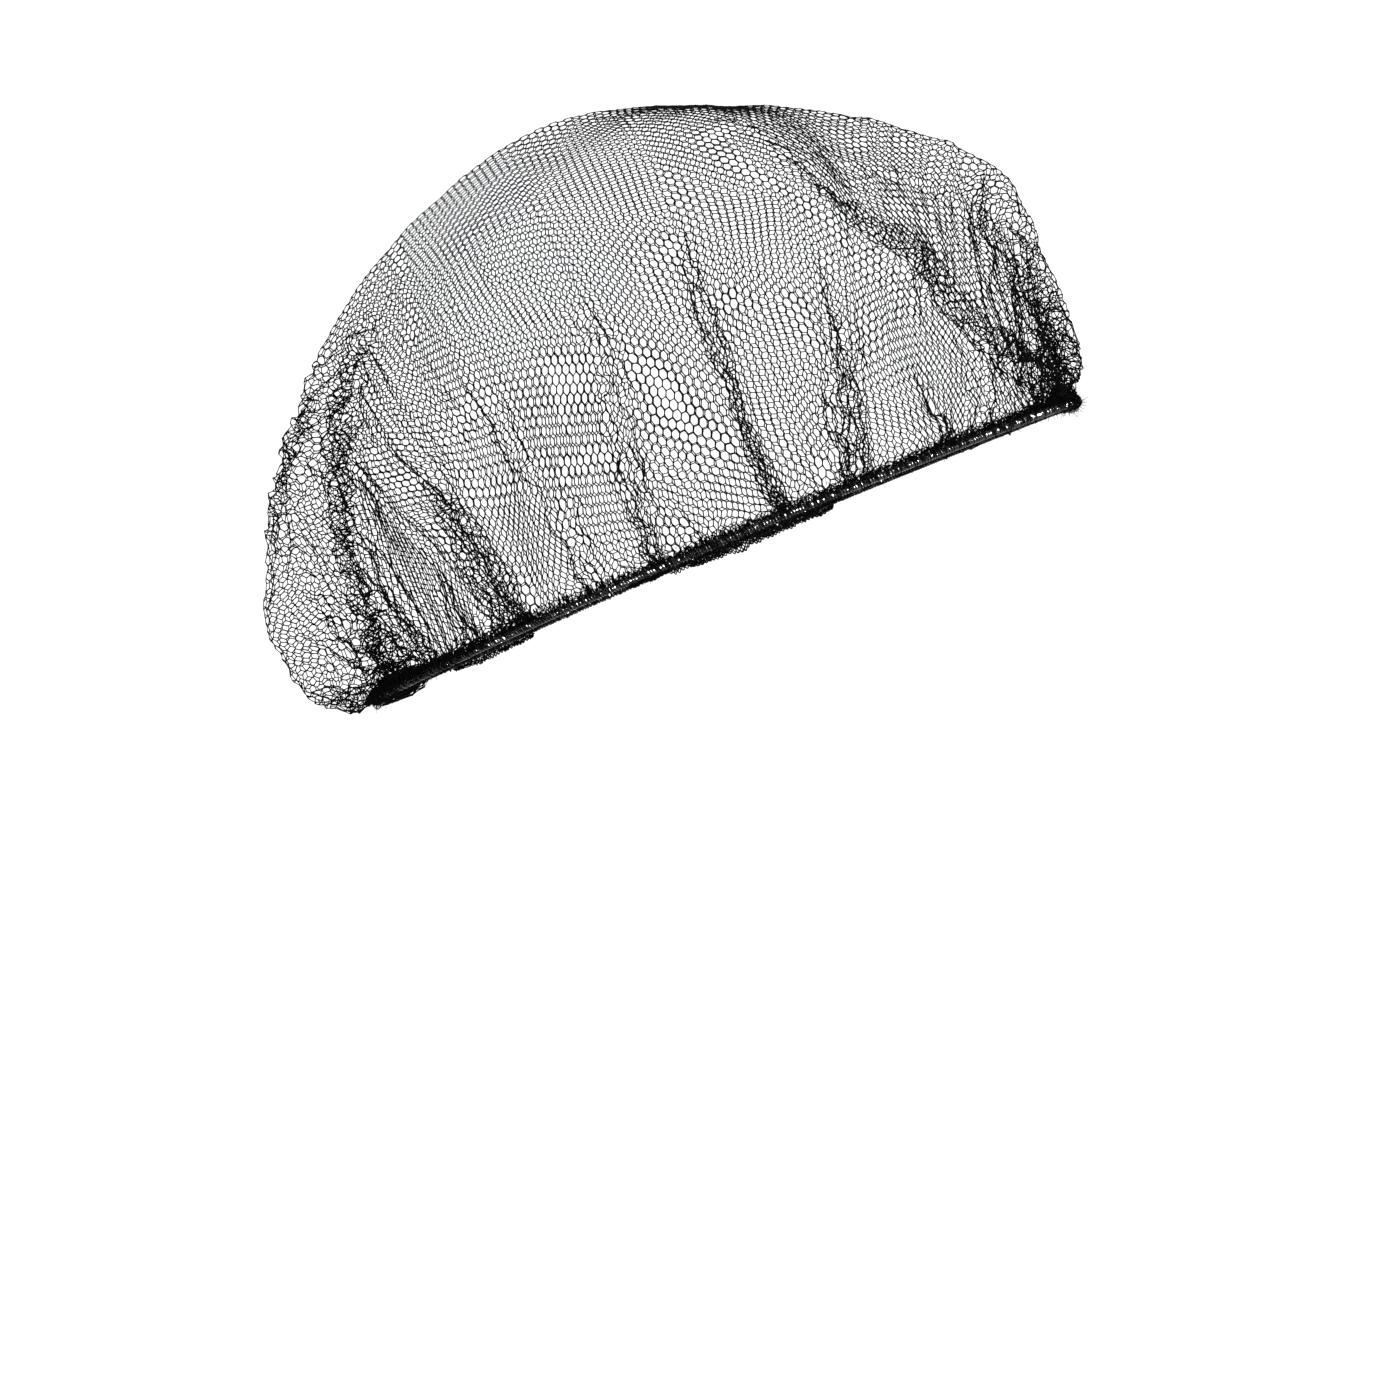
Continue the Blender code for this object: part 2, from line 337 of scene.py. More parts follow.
class ThreadBundle:
    """Gathers threads and turns them into one mesh of thin tubes."""

    def __init__(self) -> None:
        """Start an empty bundle."""
        self.points: list[np.ndarray] = []
        self.faces: list[np.ndarray] = []
        self.uvs: list[np.ndarray] = []
        self.count = 0

    def add(
        self,
        line: np.ndarray,
        radius: np.ndarray | float,
        facing: np.ndarray,
        sides: int,
        live: np.ndarray | None = None,
    ) -> None:
        """Add threads with the same number of points.

        Args:
            line: points of the threads, shaped (threads, points, 3).
            radius: one radius, or one at each point, shaped (threads, points).
            facing: direction that the tubes' first side looks, shaped (threads, 3).
            sides: sides of each tube.
            live: which points are part of their thread, one run a thread; all if left out.
        """
        threads, steps = line.shape[:2]
        live = np.ones((threads, steps), bool) if live is None else live
        frames, other = self._frames(line, facing)
        turn = 2 * pi * np.arange(sides) / sides
        ring = frames[:, :, None] * np.cos(turn)[:, None] + other[:, :, None] * np.sin(turn)[:, None]
        skin = line[:, :, None] + ring * np.broadcast_to(radius, (threads, steps))[:, :, None, None]
        corner = self.count + np.arange(threads * steps * sides).reshape(threads, steps, sides)
        beside = np.roll(corner, -1, axis=2)
        quads = np.stack([corner[:, :-1], beside[:, :-1], beside[:, 1:], corner[:, 1:]], axis=-1)
        length = np.zeros((threads, steps))
        length[:, 1:] = np.cumsum(np.linalg.norm(np.diff(line, axis=1), axis=2), axis=1)
        start, end = (np.repeat(part[..., None], sides, axis=2) for part in (length[:, :-1], length[:, 1:]))
        near = np.broadcast_to(np.arange(sides) / sides, start.shape)
        far = near + 1 / sides
        uv = np.stack([start, near, start, far, end, far, end, near], axis=-1)
        whole = live[:, :-1] & live[:, 1:]
        self._keep(quads[whole].reshape(-1, 4), uv[whole].reshape(-1, 2))
        first = live.argmax(axis=1)
        last = steps - 1 - live[:, ::-1].argmax(axis=1)
        every = np.arange(threads)
        for cap in (corner[every, first][:, ::-1], corner[every, last]):
            self._keep(cap, np.zeros((cap.size, 2)))
        self.points.append(skin.reshape(-1, 3))
        self.count += corner.size

    def add_ring(self, line: np.ndarray, radius: float, facing: np.ndarray, sides: int) -> None:
        """Add one closed thread.

        Args:
            line: points of the thread, shaped (points, 3), the last one next to the first.
            radius: the thread's radius.
            facing: direction that the tube's first side looks, shaped (3,).
            sides: sides of the tube.
        """
        closed = np.concatenate([line, line[:1]])[None]
        self.add(closed, radius, facing[None], sides)

    def _keep(self, faces: np.ndarray, uv: np.ndarray) -> None:
        """Keep faces and the UV places of their corners."""
        self.faces.append(faces)
        self.uvs.append(uv)

    @staticmethod
    def _frames(line: np.ndarray, facing: np.ndarray) -> tuple[np.ndarray, np.ndarray]:
        """Carry a direction along threads without twisting it.

        Args:
            line: points of the threads.
            facing: each thread's first direction.

        Returns:
            Two directions across the thread at each point.
        """
        along = unit(np.gradient(line, axis=1))
        frames = np.empty_like(line)
        side = facing
        for step in range(line.shape[1]):
            side = unit(side - (side * along[:, step]).sum(1, keepdims=True) * along[:, step])
            frames[:, step] = side
        return frames, np.cross(along, frames)

    def mesh(self, name: str) -> bpy.types.Mesh:
        """Build the mesh.

        Args:
            name: the mesh's name.

        Returns:
            The mesh, smooth shaded, with its UV map in metres along each thread and turns round it.
        """
        corners = np.concatenate([faces.reshape(-1) for faces in self.faces])
        used, corners = np.unique(corners, return_inverse=True)
        points = np.concatenate(self.points)[used]
        totals = np.concatenate([np.full(len(faces), faces.shape[1]) for faces in self.faces])
        starts = np.concatenate([[0], np.cumsum(totals)[:-1]])
        mesh = bpy.data.meshes.new(name)
        mesh.vertices.add(len(points))
        mesh.vertices.foreach_set("co", points.astype(np.float32).ravel())
        mesh.loops.add(len(corners))
        mesh.loops.foreach_set("vertex_index", corners.astype(np.int32))
        mesh.polygons.add(len(totals))
        mesh.polygons.foreach_set("loop_start", starts.astype(np.int32))
        mesh.update(calc_edges=True)
        layer = mesh.uv_layers.new(name="thread")
        layer.data.foreach_set("uv", np.concatenate(self.uvs).astype(np.float32).ravel())
        mesh.shade_smooth()
        return mesh


def place_piece(mesh: bpy.types.Mesh, material: bpy.types.Material) -> bpy.types.Object:
    """Make a mesh a piece of the model.

    Args:
        mesh: the finished mesh, in place.
        material: its finish.

    Returns:
        The piece, which rides on the object's one body.
    """
    piece = bpy.data.objects.new(mesh.name, mesh)
    mesh.materials.append(material)
    bpy.context.scene.collection.objects.link(piece)
    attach(piece, "root")
    triangles = sum(len(face.vertices) - 2 for face in mesh.polygons)
    LOG.info("%s: %d triangles", piece.name, triangles)
    return piece


# What the CAD model gives


def node_points(name: str) -> np.ndarray:
    """Return a CAD node's vertices, shaped (points, 3)."""
    mesh = bpy.data.objects[name].data
    points = np.empty(len(mesh.vertices) * 3)
    mesh.vertices.foreach_get("co", points)
    return points.reshape(-1, 3)


def arc_length(line: np.ndarray) -> np.ndarray:
    """Return the length along a line up to each of its points."""
    steps = np.linalg.norm(np.diff(line, axis=0), axis=1)
    return np.concatenate([[0.0], np.cumsum(steps)])


def along_line(line: np.ndarray, share: np.ndarray) -> np.ndarray:
    """Return points of a line.

    Args:
        line: the line's points, shaped (points, 3).
        share: shares of its length, of any shape.

    Returns:
        The points, with one more axis than share.
    """
    length = arc_length(line)
    return np.stack([np.interp(share * length[-1], length, line[:, axis]) for axis in range(3)], -1)


class BandFrame:
    """The band's own level frame: towards the left ear, towards the nape, and up from its plane."""

    SAMPLES = 361                 # points round the loop
    BLUR = 0.03                   # angle over which the cord's vertices are averaged
    CORD_RADIUS = 0.0011

    def __init__(self) -> None:
        """Measure the elastic's loop."""
        points = np.unique(np.round(node_points("elastic_band"), 7), axis=0)
        middle = points.mean(axis=0)
        axes = np.linalg.eigh(np.cov((points - middle).T))[1]
        up = axes[:, 0] * np.sign(axes[2, 0])
        nape = axes[:, 2] * np.sign(axes[1, 2])
        self.axes = np.stack([np.cross(nape, up), nape, up])
        level = points @ self.axes.T
        low, high = level.min(axis=0), level.max(axis=0)
        centre = (low + high) / 2
        centre[2] = low[2] + self.CORD_RADIUS
        self.centre = centre @ self.axes
        self.rim = self._loop(level - centre)
        half = self.SAMPLES // 2
        self.halves = {Side.RIGHT: self.rim[half:], Side.LEFT: self.rim[: half + 1][::-1]}
        self.half_length = float(arc_length(self.halves[Side.RIGHT])[-1])

    def _loop(self, level: np.ndarray) -> np.ndarray:
        """Return the loop's centre line, from its back end by its left side to the front and round.

        Args:
            level: the elastic's vertices in the band's frame.

        Returns:
            The line's points.
        """
        places = np.arctan2(-level[:, 0], -level[:, 1])
        turns = np.linspace(-pi, pi, self.SAMPLES)
        apart = (turns[:, None] - places[None] + pi) % (2 * pi) - pi
        weight = np.exp(-((apart / self.BLUR) ** 2))
        return (weight @ level) / weight.sum(axis=1, keepdims=True)

    def to_world(self, local: np.ndarray) -> np.ndarray:
        """Return points of the band's frame in the model's frame."""
        return local @ self.axes + self.centre

    def to_local(self, world: np.ndarray) -> np.ndarray:
        """Return points of the model's frame in the band's frame."""
        return (world - self.centre) @ self.axes.T

    def outward(self, line: np.ndarray) -> np.ndarray:
        """Return level directions away from the band, at right angles to a line along it.

        Args:
            line: points along the band in its frame.

        Returns:
            Unit directions, one a point.
        """
        out = unit(np.cross(np.gradient(line, axis=0), UP))
        return out * np.sign((out * line * [1, 1, 0]).sum(axis=1, keepdims=True))


class CrownForm:
    """The CAD crown's outer face, as the net's form."""

    HEART = np.array([0.0, 0.0, 0.025])  # middle of the crown's hollow, in the band's frame
    FAR = 0.4                     # where the rays towards the heart start
    BAND_REACH = 0.0985           # from the band's middle to its ends
    PROFILE_POINTS = 241
    PROFILE_START = 0.9           # its first ray's slope, over that down to the band's end
    RAY = 0.1                     # how far from the heart the profile's rays are drawn

    def __init__(self, band: BandFrame) -> None:
        """Take the crown's faces.

        Args:
            band: the band's frame.
        """
        self.band = band
        mesh = bpy.data.objects["net_crown"].data
        corners = [vertex.co.copy() for vertex in mesh.vertices]
        self.tree = BVHTree.FromPolygons(corners, [tuple(face.vertices) for face in mesh.polygons])
        self.profile = self._profile()

    def outermost(self, local: np.ndarray) -> np.ndarray:
        """Move points to the crown's outer face, straight away from its heart.

        Args:
            local: points in the band's frame, with the axes last.

        Returns:
            The moved points; one that meets no face stays.
        """
        moved = local.copy()
        heart = self.band.to_world(self.HEART)
        for point in moved.reshape(-1, 3):
            away = (point - self.HEART) @ self.band.axes
            away /= np.linalg.norm(away)
            hit = self.tree.ray_cast(Vector(heart + away * self.FAR), Vector(-away))[0]
            if hit is not None:
                point[:] = self.band.to_local(np.array(hit))
        return moved

    def _profile(self) -> np.ndarray:
        """Return the crown's middle line, from the band's front end over the top to its back end."""
        start = self.PROFILE_START * np.arctan2(-self.HEART[2], self.BAND_REACH)
        turns = np.linspace(start, pi - start, self.PROFILE_POINTS)
        rays = np.stack([0 * turns, -np.cos(turns), np.sin(turns)], -1) * self.RAY + self.HEART
        half = self.band.halves[Side.RIGHT]
        return np.concatenate([half[:1], self.outermost(rays), half[-1:]])


# The net


class Pleat(NamedTuple):
    """One pleat, where the net is gathered on the band.

    path holds, from its foot to its tip, its place as a share of half the band from the forehead
    to the nape, its height over the band, and the net's length in it. turn is how far its sides
    turn over in radians (2.4 closes it), and flop how much it lies over, from -1 towards the
    forehead to 1 towards the nape.
    """

    path: tuple[tuple[float, float, float], ...]
    turn: float
    flop: float

    OPENING = 0.35                # share of its height over which it opens towards its tip

    def at(self, height: float) -> tuple[float, float, float]:
        """Return the pleat's place, take-up and turn at a height."""
        places, heights, take_ups = zip(*self.path)
        top = heights[-1]
        turn = self.turn * min(1.0, max(0.0, (top - height) / (self.OPENING * top))) ** 0.5
        return np.interp(height, heights, places), np.interp(height, heights, take_ups), turn

    def moved(self, along: float) -> "Pleat":
        """Return the same pleat moved along the band and laid over to its other side."""
        return Pleat(tuple((place + along, *rest) for place, *rest in self.path), self.turn, -self.flop)


class Tuck(NamedTuple):
    """One long tuck, which runs from a gathered end up over the crown.

    path holds its bends as shares from the forehead to the nape and shares of the way from the
    band to the top, take_up is the net's length in it, turn how far its sides turn over in
    radians, and flop how much it lies over, 1 upwards.
    """

    path: tuple[tuple[float, float], ...]
    take_up: float
    turn: float
    flop: float


class Crumple(NamedTuple):
    """One crumpled patch, on both sides of the net.

    place and way are its middle as in a tuck's path, wide and tall its half sizes in the same
    shares, and amount the extra net in its middle over the form's.
    """

    place: float
    way: float
    wide: float
    tall: float
    amount: float


RIGHT_PLEATS = (
    Pleat(((0.030, 0.0, 0.005), (0.035, 0.036, 0.002)), 2.3, 0.8),
    Pleat(((0.070, 0.0, 0.006), (0.078, 0.050, 0.002)), 2.3, -0.8),
    Pleat(((0.118, 0.0, 0.005), (0.124, 0.044, 0.002)), 2.4, 0.8),
    Pleat(((0.188, 0.0, 0.005), (0.192, 0.038, 0.002)), 2.3, -0.9),
    Pleat((
        (0.252, 0.0, 0.010), (0.261, 0.013, 0.009), (0.269, 0.019, 0.006), (0.277, 0.030, 0.003),
    ), 2.4, 0.5),
    Pleat((
        (0.345, 0.0, 0.015), (0.337, 0.011, 0.012), (0.330, 0.018, 0.009),
        (0.320, 0.033, 0.005), (0.333, 0.038, 0.004), (0.347, 0.048, 0.002),
    ), 2.5, 0.35),
    Pleat((
        (0.359, 0.0, 0.007), (0.373, 0.011, 0.006), (0.380, 0.018, 0.005), (0.361, 0.028, 0.006),
        (0.346, 0.040, 0.009), (0.343, 0.050, 0.007), (0.360, 0.064, 0.002),
    ), 2.4, -0.5),
    Pleat((
        (0.425, 0.0, 0.022), (0.432, 0.011, 0.018), (0.430, 0.022, 0.013), (0.430, 0.040, 0.009),
        (0.434, 0.055, 0.009), (0.424, 0.069, 0.006), (0.417, 0.082, 0.002),
    ), 2.5, 0.8),
    Pleat(((0.513, 0.0, 0.004), (0.513, 0.020, 0.001)), 2.1, -0.6),
    Pleat((
        (0.536, 0.014, 0.0004), (0.530, 0.025, 0.004), (0.520, 0.034, 0.003), (0.516, 0.046, 0.001),
    ), 2.2, 0.5),
    Pleat((
        (0.572, 0.0, 0.011), (0.556, 0.011, 0.012), (0.549, 0.018, 0.011), (0.546, 0.026, 0.008),
        (0.537, 0.033, 0.007), (0.515, 0.046, 0.009), (0.511, 0.055, 0.008), (0.515, 0.070, 0.003),
    ), 2.4, 0.4),
    Pleat((
        (0.625, 0.0, 0.008), (0.608, 0.011, 0.008), (0.603, 0.018, 0.007),
        (0.608, 0.024, 0.005), (0.630, 0.036, 0.002),
    ), 2.3, -0.5),
    Pleat((
        (0.636, 0.030, 0.0004), (0.622, 0.046, 0.007), (0.608, 0.054, 0.008), (0.601, 0.070, 0.002),
    ), 2.3, 0.6),
    Pleat((
        (0.712, 0.0, 0.030), (0.710, 0.011, 0.029), (0.706, 0.022, 0.026),
        (0.702, 0.032, 0.021), (0.699, 0.042, 0.014), (0.696, 0.056, 0.004),
    ), 2.5, 0.8),
    Pleat(((0.790, 0.0, 0.007), (0.786, 0.020, 0.004), (0.784, 0.034, 0.001)), 2.4, -0.7),
    Pleat(((0.850, 0.0, 0.008), (0.848, 0.020, 0.005), (0.846, 0.040, 0.001)), 2.4, 0.8),
    Pleat(((0.915, 0.0, 0.008), (0.910, 0.025, 0.005), (0.906, 0.045, 0.001)), 2.3, -0.7),
)
LEFT_PLEATS = tuple(pleat.moved(0.012 if number % 2 else -0.009) for number, pleat in enumerate(RIGHT_PLEATS))
DARK_BAND = (
    (0.05, 0.14), (0.078, 0.19), (0.134, 0.24), (0.187, 0.33), (0.21, 0.42), (0.239, 0.48), (0.275, 0.52),
    (0.293, 0.55), (0.315, 0.60), (0.335, 0.67), (0.350, 0.75), (0.375, 0.83),
)
FRONT_LIMB = (
    (0.05, 0.45), (0.076, 0.53), (0.097, 0.64), (0.136, 0.70), (0.18, 0.76),
    (0.206, 0.77), (0.261, 0.74), (0.314, 0.76), (0.340, 0.79),
)
REAR_LIMB = (
    (0.66, 0.86), (0.71, 0.87), (0.75, 0.84), (0.789, 0.76), (0.837, 0.65),
    (0.878, 0.51), (0.916, 0.40), (0.95, 0.25), (0.98, 0.14),
)
REAR_CURL = (
    (0.80, 0.92), (0.84, 0.84), (0.863, 0.78), (0.877, 0.71), (0.898, 0.64), (0.924, 0.55), (0.96, 0.40),
)
REAR_CREASE = ((0.86, 0.58), (0.881, 0.53), (0.905, 0.53), (0.924, 0.55), (0.96, 0.60))
RIGHT_TUCKS = (
    Tuck(DARK_BAND, take_up=0.018, turn=2.5, flop=0.6),
    Tuck(FRONT_LIMB, take_up=0.004, turn=1.9, flop=-0.6),
    Tuck(REAR_LIMB, take_up=0.014, turn=2.4, flop=0.3),
    Tuck(REAR_CURL, take_up=0.004, turn=2.2, flop=-0.6),
    Tuck(REAR_CREASE, take_up=0.003, turn=2.0, flop=0.5),
)
LEFT_TUCKS = (
    Tuck(DARK_BAND[:-3], take_up=0.006, turn=2.2, flop=0.9),
    Tuck(REAR_LIMB, take_up=0.008, turn=2.3, flop=-0.8),
)
CRUMPLES = (
    Crumple(place=0.80, way=1.00, wide=0.065, tall=0.10, amount=1.6),
    Crumple(place=0.950, way=0.40, wide=0.036, tall=0.24, amount=1.6),
    Crumple(place=0.78, way=0.78, wide=0.028, tall=0.06, amount=0.7),
    Crumple(place=0.86, way=0.57, wide=0.024, tall=0.09, amount=0.7),
    Crumple(place=0.10, way=0.99, wide=0.055, tall=0.09, amount=1.2),
    Crumple(place=0.05, way=0.60, wide=0.045, tall=0.36, amount=0.45),
)


@dataclass
class NetCut:
    """The flat piece of honeycomb net: chains of knots from ear to ear, joined by short bars."""

    side: float = 0.00160         # a cell's side
    length: float = 0.442         # from the forehead to the nape
    slack: float = 0.92           # net's length over its form's, away from the gathers
    foot_gather: float = -0.04    # extra net near the band, over the ears, where it is drawn tight
    front_gather: float = 0.60    # extra net near the band, at the forehead
    back_gather: float = 0.70     # extra net near the band, at the nape
    end_reach: float = 0.060      # share of the cut over which the gathered ends fade
    foot_reach: float = 0.026     # length over which the net near the band loosens
    hem_gather: float = 1.10      # extra net just above the band, towards both ends
    hem_spread: float = 0.15      # share of the cut over which it fades
    hem_sides: float = 0.35       # share of it that is left between the ends
    hem_reach: float = 0.006      # length over which it fades upwards
    layers: float = 0.005         # length taken up by the layers at the forehead
    layers_reach: float = 0.06    # share of the cut over which they fade

    @property
    def chain_step(self) -> float:
        """Distance between chains."""
        return 1.5 * self.side

    @property
    def knot_step(self) -> float:
        """Distance between a chain's knots, measured along the chain."""
        return sqrt(3) / 2 * self.side

    @property
    def chains(self) -> int:
        """Number of chains."""
        return round(self.length / self.chain_step) + 1

    def gather(self, share: np.ndarray) -> np.ndarray:
        """Return the extra net near the band.

        Args:
            share: chains' places, from the forehead to the nape.

        Returns:
            The extra length as a share of the form's, at the band itself.
        """
        front = self.front_gather * np.exp(-share / self.end_reach)
        return self.foot_gather + front + self.back_gather * np.exp(-(1 - share) / self.end_reach)

    def hem(self, share: np.ndarray) -> np.ndarray:
        """Return the extra net just above the band, as gather does."""
        ends = np.exp(-share / self.hem_spread) + np.exp(-(1 - share) / self.hem_spread)
        return self.hem_gather * (ends + self.hem_sides)

    def layered(self, share: np.ndarray) -> tuple[np.ndarray, np.ndarray]:
        """Return what the layers at the forehead do.

        Args:
            share: chains' places in the cut.

        Returns:
            The length lost up to each chain, and how many times closer the chains lie there.
        """
        fade = np.exp(-share / self.layers_reach)
        return self.layers * (1 - fade), 1 / (1 - self.layers / self.layers_reach / self.length * fade)


def folded(across: np.ndarray, take_up: float, turn: float) -> tuple[np.ndarray, np.ndarray]:
    """Work out what a fold does to the net: its cross-section is the curve of a bent strip.

    Args:
        across: distances from the fold's middle, along the net.
        take_up: length of net in the fold.
        turn: the largest angle that its sides turn to.

    Returns:
        The length lost up to each distance, and the net's height there.
    """
    steps = 80
    spots = np.linspace(-0.5, 0.5, steps + 1)
    angle = -turn * np.sin(2 * pi * spots)
    lost = np.cumsum(1 - np.cos(angle)) / steps
    height = np.cumsum(np.sin(angle)) / steps
    place = across / take_up
    return take_up * np.interp(place, spots, lost), take_up * np.interp(place, spots, height)


def folded_away(take_up: float, turn: float) -> float:
    """Return the length that a whole fold takes up."""
    return float(folded(np.array([take_up]), take_up, turn)[0][0])


class Folds:
    """What all folds across one line of net do to it."""

    LAID_OVER = 0.6               # how much of its height a fold loses that lies right over
    SWUNG = 0.85                  # how far such a fold's top swings, over its height

    def __init__(self, count: int) -> None:
        """Start without folds.

        Args:
            count: number of places on the line.
        """
        self.lost = np.zeros(count)
        self.lift = np.zeros(count)
        self.shift = np.zeros(count)

    def add(self, across: np.ndarray, take_up: float, turn: float, flop: float) -> None:
        """Add a fold.

        Args:
            across: distances from the fold's middle.
            take_up: length of net in it.
            turn: how far its sides turn over.
            flop: how much it lies over, and to which side.
        """
        gone, rise = folded(across, take_up, turn)
        self.lost += gone
        self.lift += rise * (1 - self.LAID_OVER * abs(flop))
        self.shift += rise * flop * self.SWUNG


def blurred(values: np.ndarray, rounds: int) -> np.ndarray:
    """Blur values over a grid's first two axes, in place.

    Args:
        values: the values.
        rounds: how often each is mixed with its neighbours.

    Returns:
        The same array.
    """
    for _ in range(rounds):
        values[1:-1] = (values[:-2] + values[2:] + 2 * values[1:-1]) / 4
        values[:, 1:-1] = (values[:, :-2] + values[:, 2:] + 2 * values[:, 1:-1]) / 4
    return values


def both_ends(distance: np.ndarray, reach: float) -> np.ndarray:
    """Return a fade from both ends of a line.

    Args:
        distance: distances from its start, up to its end.
        reach: length over which each fade falls.

    Returns:
        The sum of the two fades.
    """
    return np.exp(-distance / reach) + np.exp(-distance[::-1] / reach)


def step_sum(rates: np.ndarray) -> np.ndarray:
    """Return the running sum of rates from one place to the next, which starts at zero."""
    return np.concatenate([[0.0], np.cumsum((rates[1:] + rates[:-1]) / 2)])


class NetLattice:
    """The net's knots: laid on the crown with their folds, then relaxed."""

    STATIONS = 72                 # places on a chain's path over the crown
    CROWDED = 0.45                # how much closer the stations lie over the crown's middle
    FIRST_TURN = 0.03             # the stations' first and last place, as an angle
    END_MARGIN = 0.012            # share of half the band that is left free at each end
    ARCH = 0.155                  # length over the crown from the band to the top
    PLEAT_WOBBLE = 0.0009         # how far a pleat strays from its path
    PLEAT_SWAYS = (               # the chains' sway: amount, height of a wave, turns, start right and left
        (0.0012, 0.009, 40.0, 0.0, 0.0),
        (0.0010, 0.013, -27.0, 1.0, 2.5),
    )
    TUCK_SWAYS = ((0.004, 23.0, 40.0), (0.0035, 61.0, 0.0))  # amount, turns, start for each metre taken up
    TUCK_FADE = 3.5               # how fast a tuck grows from its ends
    TUCK_LEAST = 0.4              # share of its net that is in it at its ends
    FIRST_GUESS = 1.1             # a chain's length over its path's
    GUESSES = 6
    RIDGE_SWAYS = ((0.0030, 1.0, 0.0), (0.0016, 2.3, 1.0))   # amount, turns for nine chains, start
    HEM_STEP = 0.0015             # one step of the hem's rows, which are out of the loop and up
    HEM_ROWS = (
        (-1.45, 0.5), (-1.50, -0.5), (-1.30, -1.2), (-1.05, -0.5), (-0.95, 0.2), (-0.60, 0.95), (-0.1, 1.4),
    )
    HEM_HANG = 0.5                # how far the net's edge hangs under the band, over its row's
    HEM_LIFT = (0.05, 0.4)        # share of the pleats' lift in the hem's first and last row
    RIDGE_REST = 0.0028           # height of the loose net over the inner round, beside its ridge
    RIDGE_FOOT = 0.0035           # half width of the lowest ridge
    RIDGE_SPREAD = 0.34           # extra half width for each metre of its height
    RIDGE_LOOSE = (0.0025, 0.0070)  # crest heights from which the net beside it is loose, and wholly so
    CREST_HOLD = 0.0060           # half width over which the crest is held to the outline
    CREST = (
        (0.0, -0.0025), (0.02, -0.0004), (0.04, 0.0004), (0.055, -0.0003), (0.07, -0.0006), (0.09, -0.0001),
        (0.11, -0.0001), (0.14, -0.0001), (0.165, -0.0001), (0.178, 0.0001), (0.19, -0.0001),
        (0.20, 0.0010), (0.212, 0.0002), (0.225, 0.0002), (0.24, 0.0), (0.26, 0.0013), (0.275, 0.0009),
        (0.30, -0.0006), (0.33, -0.0009), (0.36, -0.0017), (0.42, 0.0), (0.48, 0.0019), (0.50, 0.0020),
        (0.55, 0.0012), (0.575, 0.0005), (0.60, 0.0005), (0.62, -0.0002), (0.65, -0.0005), (0.68, -0.0007),
        (0.70, -0.0012), (0.712, -0.0012), (0.725, -0.0024), (0.745, -0.0024), (0.76, -0.0029),
        (0.788, -0.0006), (0.80, -0.0026), (0.83, 0.0003), (0.85, -0.0011), (0.865, -0.0024),
        (0.89, 0.0010), (0.92, 0.0013), (0.94, 0.0018), (0.955, 0.0013), (0.97, 0.0001), (1.0, -0.0027),
    )                             # place from the forehead to the nape, and the crest's rise there
    CREST_SPREAD = 0.028          # half width over which that rise fades
    CREST_REACH = 0.02            # distance from the middle within which the crest is the highest point
    CREST_CALM = 0.85             # how much of the folds' lift the crest takes away
    RIDGE_EDGE = 1.5              # how steeply a ridge falls
    TIGHT_HOLD = 0.85             # how far the net is held where it lies tight
    HOLD = 0.93                   # how much less the net moves where it is held
    OUTWARD = 0.25                # share of the form's own outward direction in the net's
    CRUMPLING = (1.12, 0.4)       # crowding from which the net crumples, and over which it comes to its full
    WAVY = 1.02                   # crowding from which it waves
    ROLLS = (0.0003, 0.021, 0.03) # low rolls over the whole net: height, length, and length of their bends
    HEM_UNEVEN = (0.8, 1.2)       # least and most of a chain's hang, over the mean
    HEM_STRAY = 0.9               # how far knots in the hem stray, over the loose ones
    INNER_CENTRE = np.array([0.0, 0.005, 0.020])  # of the round that the net stays outside of
    INNER_RADII = np.array([0.0765, 0.0935, 0.0940])
    FREEDOM = 0.0035              # how far loose net may sink below its laid form or rise above it
    CRUMPLE_SINK = 0.005          # how far crumpled net may sink, even under the crest
    SLIDE = 0.0022                # how far the net may slide on the crown while it relaxes
    PACKED = (1.27, 2.30)         # cells in the room of one, where open net starts and ends to crumple
    RUFFLE = (0.00012, 0.00046)   # how far single knots and bunches of net move where it is crumpled
    RUFFLE_WAVES = (0.0090, 0.0074, 0.0061, 0.0052)
    LONG_WAVES = (0.024, 0.019, 0.016, 0.013)  # lengths of the waves in open net
    LONG_HEIGHT = 0.055           # a wave's height over its length
    FINE_WAVES = (0.0092, 0.0079, 0.0068, 0.0058)  # and in crumpled net
    FINE_HEIGHT = 0.14
    WAVE_BEND = (0.8, 2.7)        # how far a wave's crests bend, and over what length in waves
    ROLL_BEND = 5.0               # how far a roll's crests bend
    LOOSE_KNOT = 0.00022          # how far single knots stray
    PRESS = 0.6                   # stiffness of a thread pressed short; one drawn long has 1
    SHAPE = 0.10                  # stiffness of the cells' open shape
    SMOOTH = (0.25, 0.10)         # share of the way to its neighbours' middle that a knot moves, and later
    LATER = 0.6                   # share of the steps after which that is
    MOMENTUM = 0.9
    HELD_EVERY = 4                # steps between two corrections to the form
    CORRECTION = 0.5              # share of its way back that a knot moves in one

